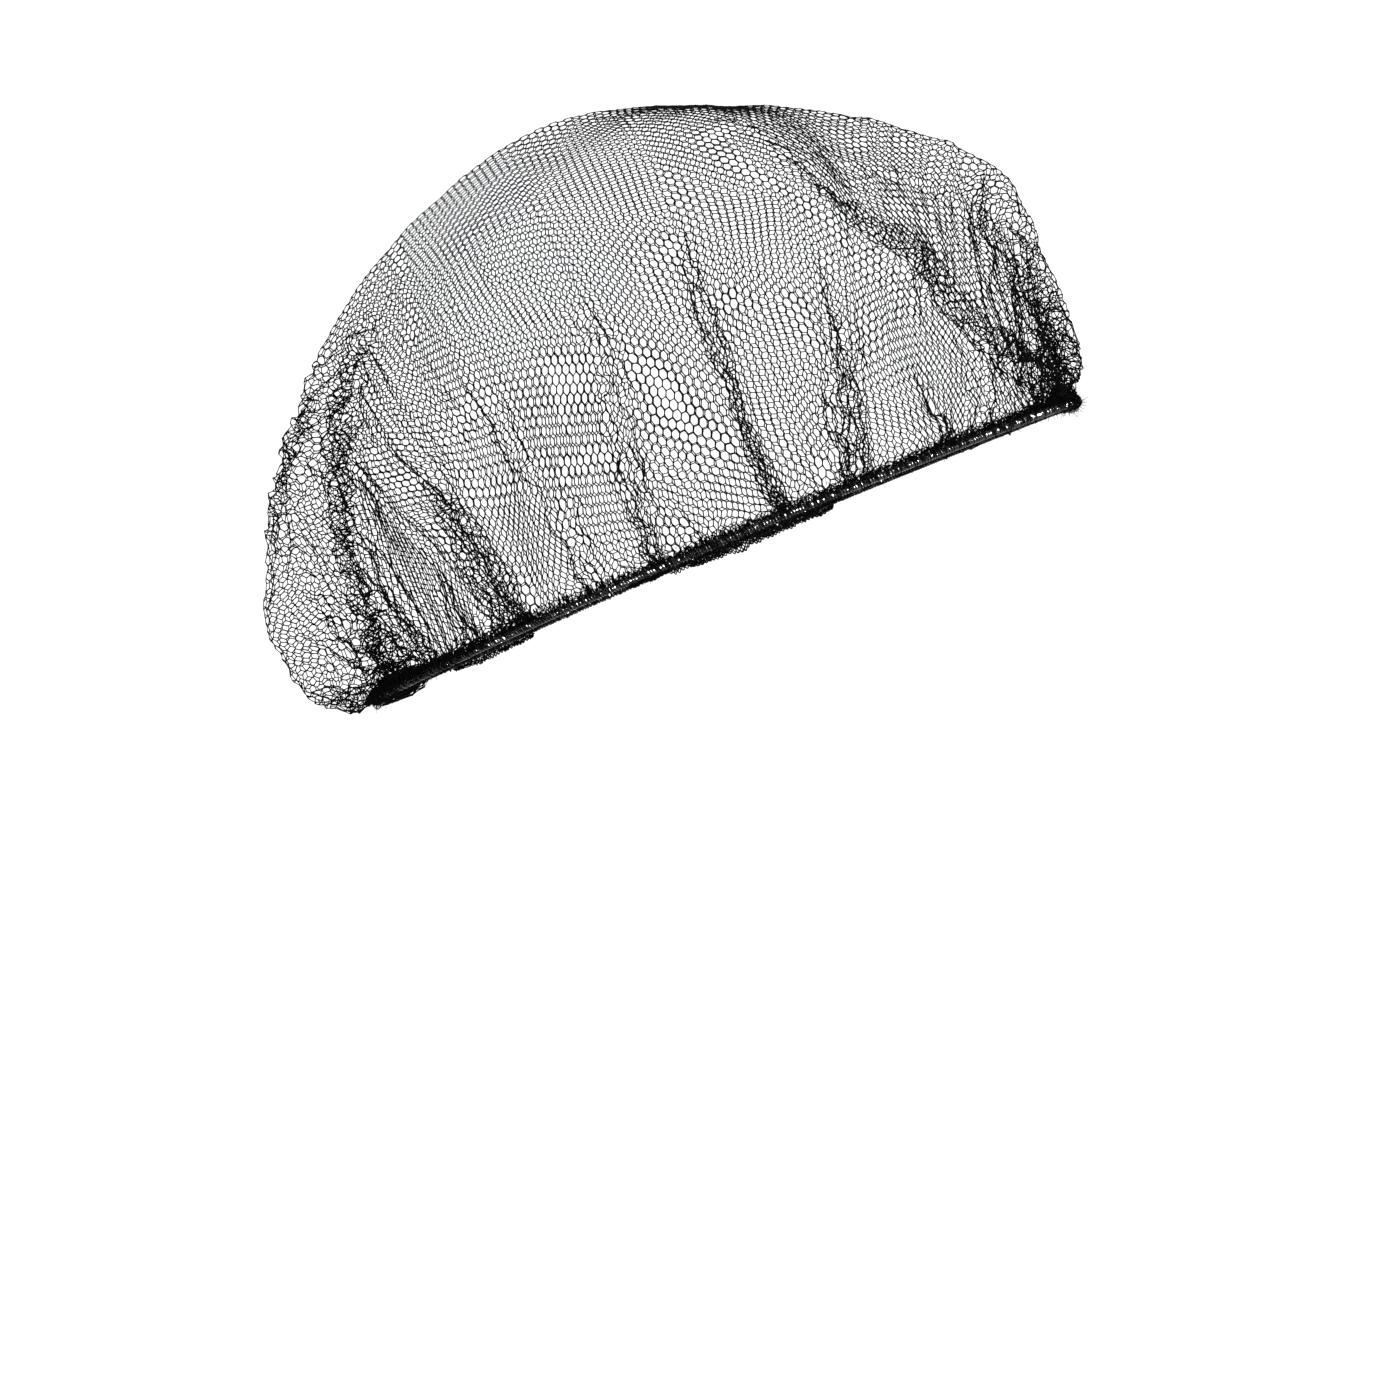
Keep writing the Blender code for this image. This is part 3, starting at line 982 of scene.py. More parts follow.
    def __init__(self, cut: NetCut, band: BandFrame, crown: CrownForm) -> None:
        """Lay the net on the crown.

        Args:
            cut: the flat net.
            band: the band's frame.
            crown: the crown's form.
        """
        self.cut = cut
        self.band = band
        self.crown = crown
        self.random = np.random.default_rng(11)
        self.share = np.linspace(0, 1, cut.chains)
        self.layered, self.layers = cut.layered(self.share)
        self.spread = (self.share * cut.length - self.layered) / (cut.length - self.layered[-1])
        paths, rise = self._paths()
        self.points, self.live, self.pinned, self.crowding = self._lay(paths, rise)
        self.out = self._normals()
        self.base = self.points.copy()
        self.points += self.out * self.lift[..., None]
        self._kink()

    def _pleated(self, turn: float) -> tuple[np.ndarray, np.ndarray]:
        """Return what the pleats do at one station.

        Args:
            turn: the station's place, from 0 at the right hem to pi at the left one.

        Returns:
            The chains' places as shares from the forehead to the nape, and their lift.
        """
        half = self.band.half_length
        right = turn < pi / 2
        height = self.ARCH * (turn if right else pi - turn) / (pi / 2)
        folds = Folds(self.cut.chains)
        folds.lost += self.layered
        pleats = RIGHT_PLEATS if right else LEFT_PLEATS
        here = [(*pleat.at(height), pleat.flop) for pleat in pleats if height < pleat.path[-1][1]]
        flat = self.cut.length - self.layered[-1]
        total = sum(folded_away(take_up, turned) for _, take_up, turned, _ in here)
        before = 0.0
        for place, take_up, turned, flop in here:
            away = folded_away(take_up, turned)
            wobble = self.PLEAT_WOBBLE * sin(height / 0.0055 + 70 * place) / half
            middle = ((place + wobble) * (flat - total) + before + away / 2) / flat
            before += away
            across = (self.share - np.interp(middle, self.spread, self.share)) * self.cut.length
            folds.add(across, take_up, turned, flop)
        sway = folds.shift
        for amount, tall, turns, at_right, at_left in self.PLEAT_SWAYS:
            start = at_right if right else at_left
            sway = sway + amount * np.sin(height / tall + turns * self.share + start)
        reached = self.share * self.cut.length - folds.lost
        return reached / reached[-1] + sway / half, folds.lift

    def _paths(self) -> tuple[np.ndarray, np.ndarray]:
        """Work out where the chains run.

        Returns:
            The chains' paths from the right hem over the crown to the left hem, and how far the
            pleats lift the net off each of their points.
        """
        even = np.linspace(-1, 1, self.STATIONS)
        turns = pi / 2 + (pi / 2 - self.FIRST_TURN) * ((1 - self.CROWDED) * even + self.CROWDED * even ** 3)
        place, lift = (np.stack(parts, 1) for parts in zip(*(self._pleated(turn) for turn in turns)))
        place = self.END_MARGIN + np.clip(place, 0, 1) * (1 - 2 * self.END_MARGIN)

        right, left = (along_line(self.band.halves[side], place) for side in Side)
        top = along_line(self.crown.profile, place)
        middle = right * [0, 1, 1]
        foot = np.where((turns < pi / 2)[None, :, None], right, left)
        spread = np.abs(np.cos(turns))[None, :, None]
        arches = middle + (foot - middle) * spread + (top - middle) * np.sin(turns)[None, :, None]
        over = self._settled(self.crown.outermost(arches))

        hems = [self._hem(side, place[:, station]) for side, station in ((Side.RIGHT, 0), (Side.LEFT, -1))]
        paths = np.concatenate([hems[0], over, hems[1][:, ::-1]], 1)
        fade = np.linspace(*self.HEM_LIFT, len(self.HEM_ROWS))
        lifts = np.concatenate([lift[:, :1] * fade, lift, lift[:, -1:] * fade[::-1]], 1)
        return paths, lifts

    def _hem(self, side: Side, place: np.ndarray) -> np.ndarray:
        """Return the chains' paths round the band on one side, from the cut edge up.

        Args:
            side: the side.
            place: the chains' places as shares of half the band.

        Returns:
            The paths, shaped (chains, rows, 3).
        """
        line = along_line(self.band.halves[side], place)
        out = self.band.outward(line)
        hang = self.HEM_HANG * self.random.uniform(*self.HEM_UNEVEN, len(line))
        rows = []
        for away, rise in self.HEM_ROWS:
            drop = rise * (hang[:, None] if rise < 0 else 1.0)
            rows.append(line + self.HEM_STEP * (out * away + UP * drop))
        return np.stack(rows, 1)

    def _settled(self, over: np.ndarray) -> np.ndarray:
        """Let the loose net at the forehead and the nape lie down beside a standing ridge.

        Args:
            over: the chains' paths over the crown.

        Returns:
            The paths, with the ridge's crest on the photograph's outline.
        """
        world = self.band.to_world(over)
        away = world - self.INNER_CENTRE
        depth = np.linalg.norm(away / self.INNER_RADII, axis=-1)
        radius = np.linalg.norm(away, axis=-1)
        chain = np.arange(self.cut.chains) / 9
        sway = sum(amount * np.sin(turns * chain + start) for amount, turns, start in self.RIDGE_SWAYS)
        side = np.abs(world[..., 0] - sway[:, None])
        rise = np.interp(self.spread, *zip(*self.CREST))
        gap = radius * (1 - 1 / depth) + rise[:, None] * np.exp(-((side / self.CREST_SPREAD) ** 2))
        crest = gap.max(axis=1, where=side < self.CREST_REACH, initial=0.0)[:, None]
        start, end = self.RIDGE_LOOSE
        loose = np.clip((crest - start) / (end - start), 0, 1)
        width = self.RIDGE_FOOT + self.RIDGE_SPREAD * crest
        ridge = self.RIDGE_REST + (crest - self.RIDGE_REST) * np.exp(-((side / width) ** self.RIDGE_EDGE))
        gap += (np.minimum(gap, ridge) - gap) * loose
        settled = self.INNER_CENTRE + away * (1 / depth + gap / radius)[..., None]
        self.crest = np.exp(-((side / self.CREST_HOLD) ** 2))
        self.hold = np.maximum(self.crest, self.TIGHT_HOLD * (1 - loose))
        return self.band.to_local(settled)

    def _tucked(self, chain: int, along: np.ndarray, free: np.ndarray, whole: float) -> Folds:
        """Return a chain's tucks.

        Args:
            chain: the chain's number.
            along: distance of its knots from its right foot, along the net.
            free: shares of its path that its knots would reach without tucks.
            whole: its path's length.

        Returns:
            What they do at each knot.
        """
        folds = Folds(len(along))
        share = self.spread[chain]
        here = []
        for side, tucks in ((Side.RIGHT, RIGHT_TUCKS), (Side.LEFT, LEFT_TUCKS)):
            for tuck in tucks:
                way = (share - tuck.path[0][0]) / (tuck.path[-1][0] - tuck.path[0][0])
                if not 0 < way < 1:
                    continue
                fade = min(1.0, self.TUCK_FADE * min(way, 1 - way)) ** 0.5
                place = np.interp(share, *zip(*tuck.path)) / 2 + sum(
                    amount * sin(turns * share + start * tuck.take_up)
                    for amount, turns, start in self.TUCK_SWAYS
                )
                place = place if side is Side.RIGHT else 1 - place
                take_up = tuck.take_up * (self.TUCK_LEAST + (1 - self.TUCK_LEAST) * fade)
                here.append((place, take_up, tuck.turn * fade, -tuck.flop * side.value))
        total = sum(take_up for _, take_up, _, _ in here)
        before = 0.0
        for place, take_up, turn, flop in sorted(here):
            middle = np.interp(place * (1 - total / whole) + (before + take_up / 2) / whole, free, along)
            before += take_up
            folds.add(along - middle, take_up, turn, flop)
        return folds

    def _spaced(self, chain: int, whole: float) -> tuple[np.ndarray, np.ndarray, np.ndarray]:
        """Space a chain's knots along its path, with more net where it is gathered.

        Args:
            chain: the chain's number.
            whole: its path's length.

        Returns:
            How far along the path each knot lies, its lift by tucks and how crowded the net is.
        """
        step = self.cut.knot_step
        gather, hem = self.cut.gather(self.spread)[chain], self.cut.hem(self.spread)[chain]
        natural = whole * self.FIRST_GUESS
        for _ in range(self.GUESSES):
            links = max(2 * round(natural / step / 2), 4)
            along = np.arange(links + 1) * step
            extra = gather * both_ends(along, self.cut.foot_reach)
            extra += hem * both_ends(along, self.cut.hem_reach)
            for patch in CRUMPLES:
                beside = (self.spread[chain] - patch.place) / patch.wide
                far = (1 - np.abs(2 * along / along[-1] - 1) - patch.way) / patch.tall
                extra += patch.amount * np.exp(-beside ** 2 - far ** 2)
            crowd = self.cut.slack * (1 + extra)
            free = step_sum(1 / crowd)
            tucks = self._tucked(chain, along, free / free[-1], whole)
            reached = step_sum((1 - np.gradient(tucks.lost, step)) / crowd) * step
            natural += whole - reached[-1]
        return reached / reached[-1] * whole + tucks.shift, tucks.lift, crowd

    def _lay(self, paths: np.ndarray, lifts: np.ndarray) -> tuple[np.ndarray, ...]:
        """Set each chain's knots along its path.

        Args:
            paths: the chains' paths.
            lifts: the pleats' lift along them.

        Returns:
            The knots, whether each one is part of the cut, whether it is held in the hem, and
            how crowded the net is there.
        """
        layouts = [self._spaced(chain, arc_length(path)[-1]) for chain, path in enumerate(paths)]
        naturals = np.array([len(crowd) - 1 for _, _, crowd in layouts])
        widest = naturals.max()
        shape = (self.cut.chains, widest + 1)
        points = np.empty((*shape, 3))
        live = np.zeros(shape, bool)
        pinned = np.ones(shape, bool)
        crowding = np.ones(shape)
        self.lift = np.zeros(shape)
        self.calm = np.ones(shape)
        self.reach = np.full(shape, self.FREEDOM)
        rows = len(self.HEM_ROWS)
        for chain, (reached, lift, crowd) in enumerate(layouts):
            path, length = paths[chain], arc_length(paths[chain])
            first = (widest - naturals[chain]) // 2
            last = first + naturals[chain]
            knots = slice(first, last + 1)
            spots = np.clip(reached, 0, length[-1])
            for axis in range(3):
                points[chain, knots, axis] = np.interp(spots, length, path[:, axis])
            points[chain, :first] = points[chain, first]
            points[chain, last + 1 :] = points[chain, last]
            live[chain, knots] = True
            hem = length[rows]
            pinned[chain, knots] = (spots < hem) | (spots > length[-1] - hem)
            crowding[chain, knots] = crowd * self.layers[chain]
            over = length[rows:-rows]
            calm = 1 - self.CREST_CALM * np.interp(spots, over, self.crest[chain])
            self.calm[chain, knots] = calm
            self.lift[chain, knots] = (lift + np.interp(spots, length, lifts[chain])) * calm
            self.reach[chain, knots] *= 1 - self.HOLD * np.interp(spots, over, self.hold[chain])
        pinned[:2] = True
        pinned[-2:] = True
        LOG.info("net: %d chains of up to %d knots, %d in all", *shape, int(live.sum()))
        return points, live, pinned, crowding

    def _normals(self) -> np.ndarray:
        """Return the net's outward directions at its knots, before the folds lift it."""
        away = (self.band.to_world(self.points) - self.INNER_CENTRE) / self.INNER_RADII ** 2
        away = unit(away @ self.band.axes.T)
        across = np.cross(np.gradient(self.points, axis=0), np.gradient(self.points, axis=1))
        across *= np.sign((across * away).sum(-1, keepdims=True))
        return unit(blurred(unit(across), 3) + self.OUTWARD * away)

    def _packed(self) -> np.ndarray:
        """Return how tightly the net is packed where it is laid, from 0 for open net to 1."""
        cell = np.cross(np.gradient(self.base, axis=0), np.gradient(self.base, axis=1))
        full = self.cut.chain_step * self.cut.knot_step
        room = blurred(np.where(self.live, np.linalg.norm(cell, axis=-1) / full, 1.0), 4)
        start, end = self.PACKED
        return np.clip((1 / np.maximum(room, 0.1) - start) / (end - start), 0, 1)

    def _kink(self) -> None:
        """Bend the chains at their knots and add the small waves that the crowding makes."""
        chain, knot = np.indices(self.live.shape)
        kink = np.where((chain + knot) % 2 == 0, 1.0, -1.0)[..., None]
        self.points += kink * np.gradient(self.points, axis=0) / 6
        along = (knot - self.live.shape[1] / 2) * self.cut.knot_step
        across = chain * self.cut.chain_step
        wave = 0.0
        bend, spacing = self.WAVE_BEND
        start, rise = self.CRUMPLING
        self.crumpled = np.maximum(np.clip((self.crowding - start) / rise, 0, 1), self._packed())
        for lengths, height, part in (
            (self.LONG_WAVES, self.LONG_HEIGHT, 1 - self.crumpled),
            (self.FINE_WAVES, self.FINE_HEIGHT, self.crumpled),
        ):
            for length in lengths:
                phase, turn = self.random.uniform(0, 2 * pi, 2)
                beside = 2 * pi * (along * sin(turn) - across * cos(turn)) / (spacing * length)
                crest = 2 * pi * (along * cos(turn) + across * sin(turn)) / length
                crest += phase + bend * np.sin(beside)
                wave = wave + np.sin(crest) * length * height * part
        height = np.sqrt(np.clip(self.crowding - self.WAVY, 0, None)) * wave
        low, length, spacing = self.ROLLS
        height += low * np.sin(2 * pi * across / length + self.ROLL_BEND * np.sin(along / spacing))
        calm = self.calm + (1 - self.calm) * self.crumpled
        self.points += self.out * (height * calm * ~self.pinned)[..., None]
        loose = self.random.normal(0, 1, self.points.shape) * self.LOOSE_KNOT
        hem = self.pinned & self.live
        self.points += loose * np.where(hem, self.HEM_STRAY, 1.0)[..., None]

    def _pull(self, low: tuple, high: tuple, rest: float, press: float, draw: float) -> None:
        """Bring pairs of knots nearer their rest distance.

        Args:
            low: index of the pairs' first knots.
            high: index of their second knots.
            rest: the distance.
            press: stiffness where they are too near.
            draw: stiffness where they are too far.
        """
        first, second = self.points[low], self.points[high]
        apart = second - first
        length = np.sqrt((apart * apart).sum(-1, keepdims=True)) + 1e-12
        miss = (length - rest) / length
        both = (self.live[low] & self.live[high])[..., None]
        free_first, free_second = self.free[low], self.free[high]
        share = both * np.where(miss > 0, draw, press) / np.maximum(free_first + free_second, 1)
        apart *= miss * share
        first += apart * free_first
        second -= apart * free_second

    @staticmethod
    def _along(first: int, hop: int) -> tuple[tuple, tuple]:
        """Return the indices of pairs of knots in a chain, a hop apart, that share no knot."""
        every = slice(None)
        return (every, slice(first, -hop, 2 * hop)), (every, slice(first + hop, None, 2 * hop))

    @staticmethod
    def _across(chain: int, knot: int) -> tuple[tuple, tuple]:
        """Return the indices of pairs of knots in neighbouring chains, at every other knot."""
        knots = slice(knot, None, 2)
        return (slice(chain, -1, 2), knots), (slice(chain + 1, None, 2), knots)

    def _mates(self) -> np.ndarray:
        """Return, for each knot, the knot at the other end of its bar, or the knot itself."""
        mates = self.points.copy()
        for odd in (0, 1):
            low, high = self._across(odd, odd)
            both = (self.live[low] & self.live[high])[..., None]
            mates[low] = np.where(both, self.points[high], self.points[low])
            mates[high] = np.where(both, self.points[low], self.points[high])
        return mates

    def _step(self, smooth: float) -> None:
        """Run one step of the relaxation.

        Args:
            smooth: how far each knot moves to the middle of its neighbours.
        """
        side = self.cut.side
        for odd in (0, 1):
            self._pull(*self._along(odd, 1), side, self.PRESS, 1.0)
        for odd in (0, 1):
            self._pull(*self._across(odd, odd), side, 0.5 * self.PRESS, 1.0)
        for first in range(4):
            self._pull(*self._along(first, 2), sqrt(3) * side, 0.5 * self.SHAPE, self.SHAPE)
        for odd in (0, 1):
            self._pull(*self._across(odd, 1 - odd), 2 * side, 0.5 * self.SHAPE, self.SHAPE)
        middle = np.zeros_like(self.points)
        mates = self._mates()
        middle[:, 1:-1] = self.points[:, 2:] + self.points[:, :-2] + mates[:, 1:-1] - 3 * self.points[:, 1:-1]
        self.points += self.free * middle * smooth / 3

    def _hold_form(self) -> None:
        """Keep the knots outside the inner round and near the crown's face."""
        away = (self.band.to_world(self.points) - self.INNER_CENTRE) / self.INNER_RADII
        depth = np.linalg.norm(away, axis=-1, keepdims=True)
        away /= np.minimum(np.maximum(depth, 1e-6), 1.0)
        moved = self.band.to_local(away * self.INNER_RADII + self.INNER_CENTRE)
        self.points = np.where(self.free > 0, moved, self.points)
        height = ((self.points - self.base) * self.out).sum(-1, keepdims=True)
        over = np.clip(height, -self.sink, self.proud) - height
        slid = self.points - self.base - self.out * height
        far = np.linalg.norm(slid, axis=-1, keepdims=True)
        back = np.minimum(self.SLIDE / np.maximum(far, 1e-9), 1.0) - 1
        self.points += (self.out * over + slid * back) * self.free * self.CORRECTION

    def _ruffle(self) -> None:
        """Draw the crumpled net into small irregular bunches."""
        random = np.random.default_rng(23)
        moved = random.normal(0, 1, self.points.shape) * self.RUFFLE[0]
        for length in self.RUFFLE_WAVES:
            ways = random.normal(0, 1, (3, 3))
            ways *= 2 * pi / length / np.linalg.norm(ways, axis=1, keepdims=True)
            moved += np.sin(self.points @ ways.T + random.uniform(0, 2 * pi, 3)) * self.RUFFLE[1]
        self.points += moved * self.free * self.crumpled[..., None]

    def relax(self, steps: int) -> None:
        """Let the threads find their lengths.

        Args:
            steps: number of steps.
        """
        self.free = (self.live & ~self.pinned)[..., None].astype(float)
        self.sink = np.maximum(self.reach, self.CRUMPLE_SINK * self.crumpled)[..., None]
        self.proud = self.reach[..., None]
        speed = np.zeros_like(self.points)
        for step in range(steps):
            before = self.points.copy()
            self.points += speed * self.MOMENTUM * self.free
            self._step(self.SMOOTH[0] if step < self.LATER * steps else self.SMOOTH[1])
            if step % self.HELD_EVERY == 0:
                self._hold_form()
            speed = self.points - before
        self._ruffle()
        links = np.linalg.norm(np.diff(self.points, axis=1), axis=2)[self.live[:, 1:] & self.live[:, :-1]]
        shares = np.percentile(links, [2, 25, 50, 75, 98]) / self.cut.side
        LOG.info("net: links %s of their length", np.round(shares, 2))


@dataclass(frozen=True)
class Strip:
    """One strip of the net, from ear to ear, with its ends as shares from forehead to nape."""

    name: str
    start: float
    stop: float


@dataclass
class HairNet:
    """The crown of the net, thread by thread."""

    band: BandFrame
    crown: CrownForm
    material: bpy.types.Material
    cut: NetCut = field(default_factory=NetCut)
    chain_radius: float = 0.000172  # of a chain's thread
    bar_radius: float = 0.000150  # of a bar
    knot_swell: float = 1.28      # a knot's thickness over its thread's
    waist: float = 0.84           # a thread's thickness between knots over its mean one
    chain_sides: int = 4
    bar_sides: int = 3
    steps: int = 200              # of the relaxation
    quick_steps: int = 20
    strips: tuple[Strip, ...] = (
        Strip("net_forehead", 0.00, 0.24),
        Strip("net_front", 0.24, 0.42),
        Strip("net_top", 0.42, 0.58),
        Strip("net_back", 0.58, 0.76),
        Strip("net_nape", 0.76, 1.00),
    )

    def build(self) -> list[bpy.types.Object]:
        """Build the net.

        Returns:
            One piece for each strip.
        """
        lattice = NetLattice(self.cut, self.band, self.crown)
        lattice.relax(self.steps)
        points = self.band.to_world(lattice.points)
        facing = lattice.out @ self.band.axes
        pieces = []
        for strip in self.strips:
            first = round(strip.start * (self.cut.chains - 1))
            last = round(strip.stop * (self.cut.chains - 1)) + (strip.stop == 1.0)
            mesh = self._threads(strip.name, points, lattice.live, facing, range(first, last))
            piece = place_piece(mesh, self.material)
            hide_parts("net_crown")
            pieces.append(piece)
        return pieces

    def _threads(
        self, name: str, points: np.ndarray, live: np.ndarray, facing: np.ndarray, chains: range
    ) -> bpy.types.Mesh:
        """Make one strip's threads.

        Args:
            name: the strip's name.
            points: all knots.
            live: which of them are part of the cut.
            facing: the direction out from the net at each knot.
            chains: the strip's chains.

        Returns:
            The mesh.
        """
        bundle = ThreadBundle()
        rows = slice(chains.start, chains.stop)
        knots = points[rows]
        before, after = knots[:, :-1], knots[:, 1:]
        ahead = np.concatenate([after[:, 1:], after[:, -1:]], 1)
        behind = np.concatenate([before[:, :1], before[:, :-1]], 1)
        middles = (9 * (before + after) - ahead - behind) / 16
        line = np.empty((knots.shape[0], 2 * knots.shape[1] - 1, 3))
        line[:, ::2] = knots
        line[:, 1::2] = middles
        radius = np.full(line.shape[:2], self.chain_radius * self.knot_swell)
        radius[:, 1::2] = self.chain_radius * self.waist
        inside = np.repeat(live[rows], 2, axis=1)[:, :-1]
        inside[:, 1::2] = live[rows][:, :-1] & live[rows][:, 1:]
        middle = facing.shape[1] // 2
        bundle.add(line, radius, facing[rows, middle], self.chain_sides, inside)

        lower, knot = np.indices((live.shape[0] - 1, live.shape[1]))
        bars = ((lower + knot) % 2 == 0) & live[:-1] & live[1:]
        bars[: chains.start] = False
        bars[chains.stop :] = False
        line = np.stack([points[:-1][bars], points[1:][bars]], 1)
        bundle.add(line, self.bar_radius, facing[:-1][bars], self.bar_sides)
        return bundle.mesh(name)


# The elastic and the hem


@dataclass
class ElasticBand:
    """The elastic: a core wound with one glossy thread."""

    band: BandFrame
    core_finish: bpy.types.Material
    wrap_finish: bpy.types.Material
    radius: float = 0.00110
    wrap_radius: float = 0.00023
    pitch: float = 0.00084        # of the winding
    points_a_turn: int = 11
    core_points: int = 720
    core_sides: int = 10
    wrap_sides: int = 5

    def build(self) -> list[bpy.types.Object]:
        """Build the elastic.

        Returns:
            The core and its winding.
        """
        core = place_piece(self._core(), self.core_finish)
        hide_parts("elastic_band")
        wrap = place_piece(self._wrap(), self.wrap_finish)
        return [core, wrap]

    def _core(self) -> bpy.types.Mesh:
        """Sweep the core round the loop."""
        line, out, _ = self.loop(np.arange(self.core_points) / self.core_points)
        bundle = ThreadBundle()
        bundle.add_ring(line, self.radius - 1.5 * self.wrap_radius, out[0], self.core_sides)
        return bundle.mesh("elastic_core")

    def _wrap(self) -> bpy.types.Mesh:
        """Wind the glossy thread round the core."""
        turns = round(2 * self.band.half_length / self.pitch)
        count = turns * self.points_a_turn
        shares = np.arange(count) / count
        line, out, over = self.loop(shares)
        turn = 2 * pi * turns * shares
        reach = self.radius - self.wrap_radius
        coil = line + reach * (np.cos(turn)[:, None] * out + np.sin(turn)[:, None] * over)
        bundle = ThreadBundle()
        bundle.add_ring(coil, self.wrap_radius, out[0], self.wrap_sides)
        return bundle.mesh("elastic_winding")

    def loop(self, shares: np.ndarray) -> tuple[np.ndarray, np.ndarray, np.ndarray]:
        """Return points round the loop.

        Args:
            shares: places from the back end round by the left side, as shares of the whole loop.

        Returns:
            The points, the directions out of the loop and those over the band, in the model's frame.
        """
        local = along_line(self.band.rim, shares)
        out = self.band.outward(local)
        over = np.cross(out, unit(np.gradient(local, axis=0)))
        over *= np.sign(over[:, 2:])
        return self.band.to_world(local), out @ self.band.axes, over @ self.band.axes


@dataclass
class Hem:
    """The overlock stitches that tie the gathered net to the elastic."""

    FRILL_RUNS = ((0.688, 0.796, 4), (0.10, 0.15, 3), (0.235, 0.31, 4))  # start, end and rows
    FIBRE_POINTS = 5

    elastic: ElasticBand
    finish: bpy.types.Material
    radius: float = 0.00015
    threads: int = 6
    sides: int = 3
    bindings: int = 2             # threads that bind the roll to the elastic
    pitch: float = 0.00180
    binding_turns: float = 0.7    # a binding's turns over a loose thread's
    binding_reach: float = 1.6    # its distance from the elastic, over its radius
    binding_lift: float = 0.25    # its height, over the roll's
    extra_turns: int = 7          # of each thread over the one before, so that no two run in step
    points_a_turn: int = 10
    stray: float = 0.0011         # how far the stitches wander along the band
    inner: float = 0.00060        # the roll's least and largest radius
    outer: float = 0.00165
    lift: float = 0.00165         # the roll's middle over the band's, at its fullest
    loft: float = 0.78            # mean and change of that height, over the fullest
    loft_wander: float = 0.55
    fibres: int = 1700
    end_fibres: float = 0.40      # the share of the fibres that stands near the loop's two ends
    end_spread: float = 0.03      # share of the loop over which those stand
    fibre_radius: float = 0.00009
    fibre_foot: float = 0.0014    # where a fibre starts, out from the roll's middle
    fibre_lift: float = 0.0016    # and over the band's middle
    fibre_sunk: float = 0.0013    # how much lower where the hem hides the elastic
    fibre_lean: float = 0.8       # how far a fibre leans along the band, over its length
    fibre_curl: float = 0.0007
    fibre_taper: tuple[float, float] = (1.2, 0.7)
    fibre_length: tuple[float, float] = (0.0004, 0.0013)
    frill_radius: float = 0.00017
    frill_step: float = 0.00050   # between the frill's rows
    frill_wave: float = 0.00110   # one cell's width
    frill_swing: float = 0.00036  # half a cell's height
    frill_out: float = 0.0008     # the outer layer's distance out from the band's middle
    frill_gap: float = 0.0004     # between the two layers
    frill_stray: float = 0.0005
    frill_taper: float = 0.35     # how bluntly a run of it ends
    frill_depth: float = 0.85     # mean and change of its depth, over its rows'
    frill_depth_wander: float = 0.3
    back_end: float = 0.058       # share of the loop over which the hem hides the elastic at the back
    front_end: float = 0.042      # and at the front
    sunk: float = 0.75            # share of its height that the roll loses there
    spread_there: float = 0.0003  # and what it gains in radius

    def build(self) -> list[bpy.types.Object]:
        """Sew the hem.

        Returns:
            One piece with every stitch.
        """
        random = np.random.default_rng(5)
        bundle = ThreadBundle()
        for thread in range(self.threads):
            self._add_stitches(bundle, random, thread)
        self._add_frill(bundle, random)
        self._add_fibres(bundle, random)
        return [place_piece(bundle.mesh("hem_stitches"), self.finish)]

    def _add_stitches(self, bundle: ThreadBundle, random: np.random.Generator, thread: int) -> None:
        """Add one thread, which winds round the roll and, if it binds, round the elastic.

        Args:
            bundle: the threads so far.
            random: source of random numbers.
            thread: the thread's number; the first ones bind.
        """
        whole = 2 * self.elastic.band.half_length
        binding = thread < self.bindings
        turns = round(whole / self.pitch * (self.binding_turns if binding else 1.0))
        turns += self.extra_turns * thread
        count = turns * self.points_a_turn
        shares = np.arange(count) / count
        wander = self._wander(random, count, 9) * self.stray
        line, out, over = self.elastic.loop((shares + wander / whole) % 1)
        turn = 2 * pi * (turns * shares + thread / self.threads) + 0.5 * self._wander(random, count, 23)
        swell = 0.5 + 0.5 * self._wander(random, count, 5)
        buried = self._buried(shares)
        if binding:
            reach = np.full(count, self.elastic.radius + self.binding_reach * self.radius)
            rise = self.binding_lift * self.lift
        else:
            reach = self.inner + (self.outer - self.inner) * swell + self.spread_there * buried
            rise = self.lift * (self.loft + self.loft_wander * self._wander(random, count, 60))
        rise = rise * (1 - self.sunk * buried)
        coil = line + over * (rise + reach * np.sin(turn))[:, None] + out * (reach * np.cos(turn))[:, None]
        bundle.add_ring(coil, self.radius, out[0], self.sides)

    def _add_frill(self, bundle: ThreadBundle, random: np.random.Generator) -> None:
        """Add the small loose cells that hang from the net's cut edge, in short runs.

        Args:
            bundle: the threads so far.
            random: source of random numbers.
        """
        for start, stop, rows in self.FRILL_RUNS:
            whole = (stop - start) * 2 * self.elastic.band.half_length
            count = round(whole / self.frill_wave) * 8
            steps = np.linspace(0, 1, count)
            line, out, over = self.elastic.loop(start + (stop - start) * steps)
            depth = self.frill_depth + self.frill_depth_wander * self._wander(random, count, 9)
            depth = np.sin(pi * steps) ** self.frill_taper * depth
            for row in range(2 * rows):
                wave = 2 * pi * steps * whole / self.frill_wave + pi * row
                wave += 1.1 * self._wander(random, count, 11)
                drop = self.elastic.radius + depth * self.frill_step * (row % rows + 0.4)
                drop += self.frill_swing * np.sin(wave)
                away = self.frill_out - self.frill_gap * (row // rows)
                away += self.frill_stray * self._wander(random, count, 7)
                edge = line - over * drop[:, None] + out * away[:, None]
                bundle.add(edge[None], self.frill_radius, out[:1], self.sides)

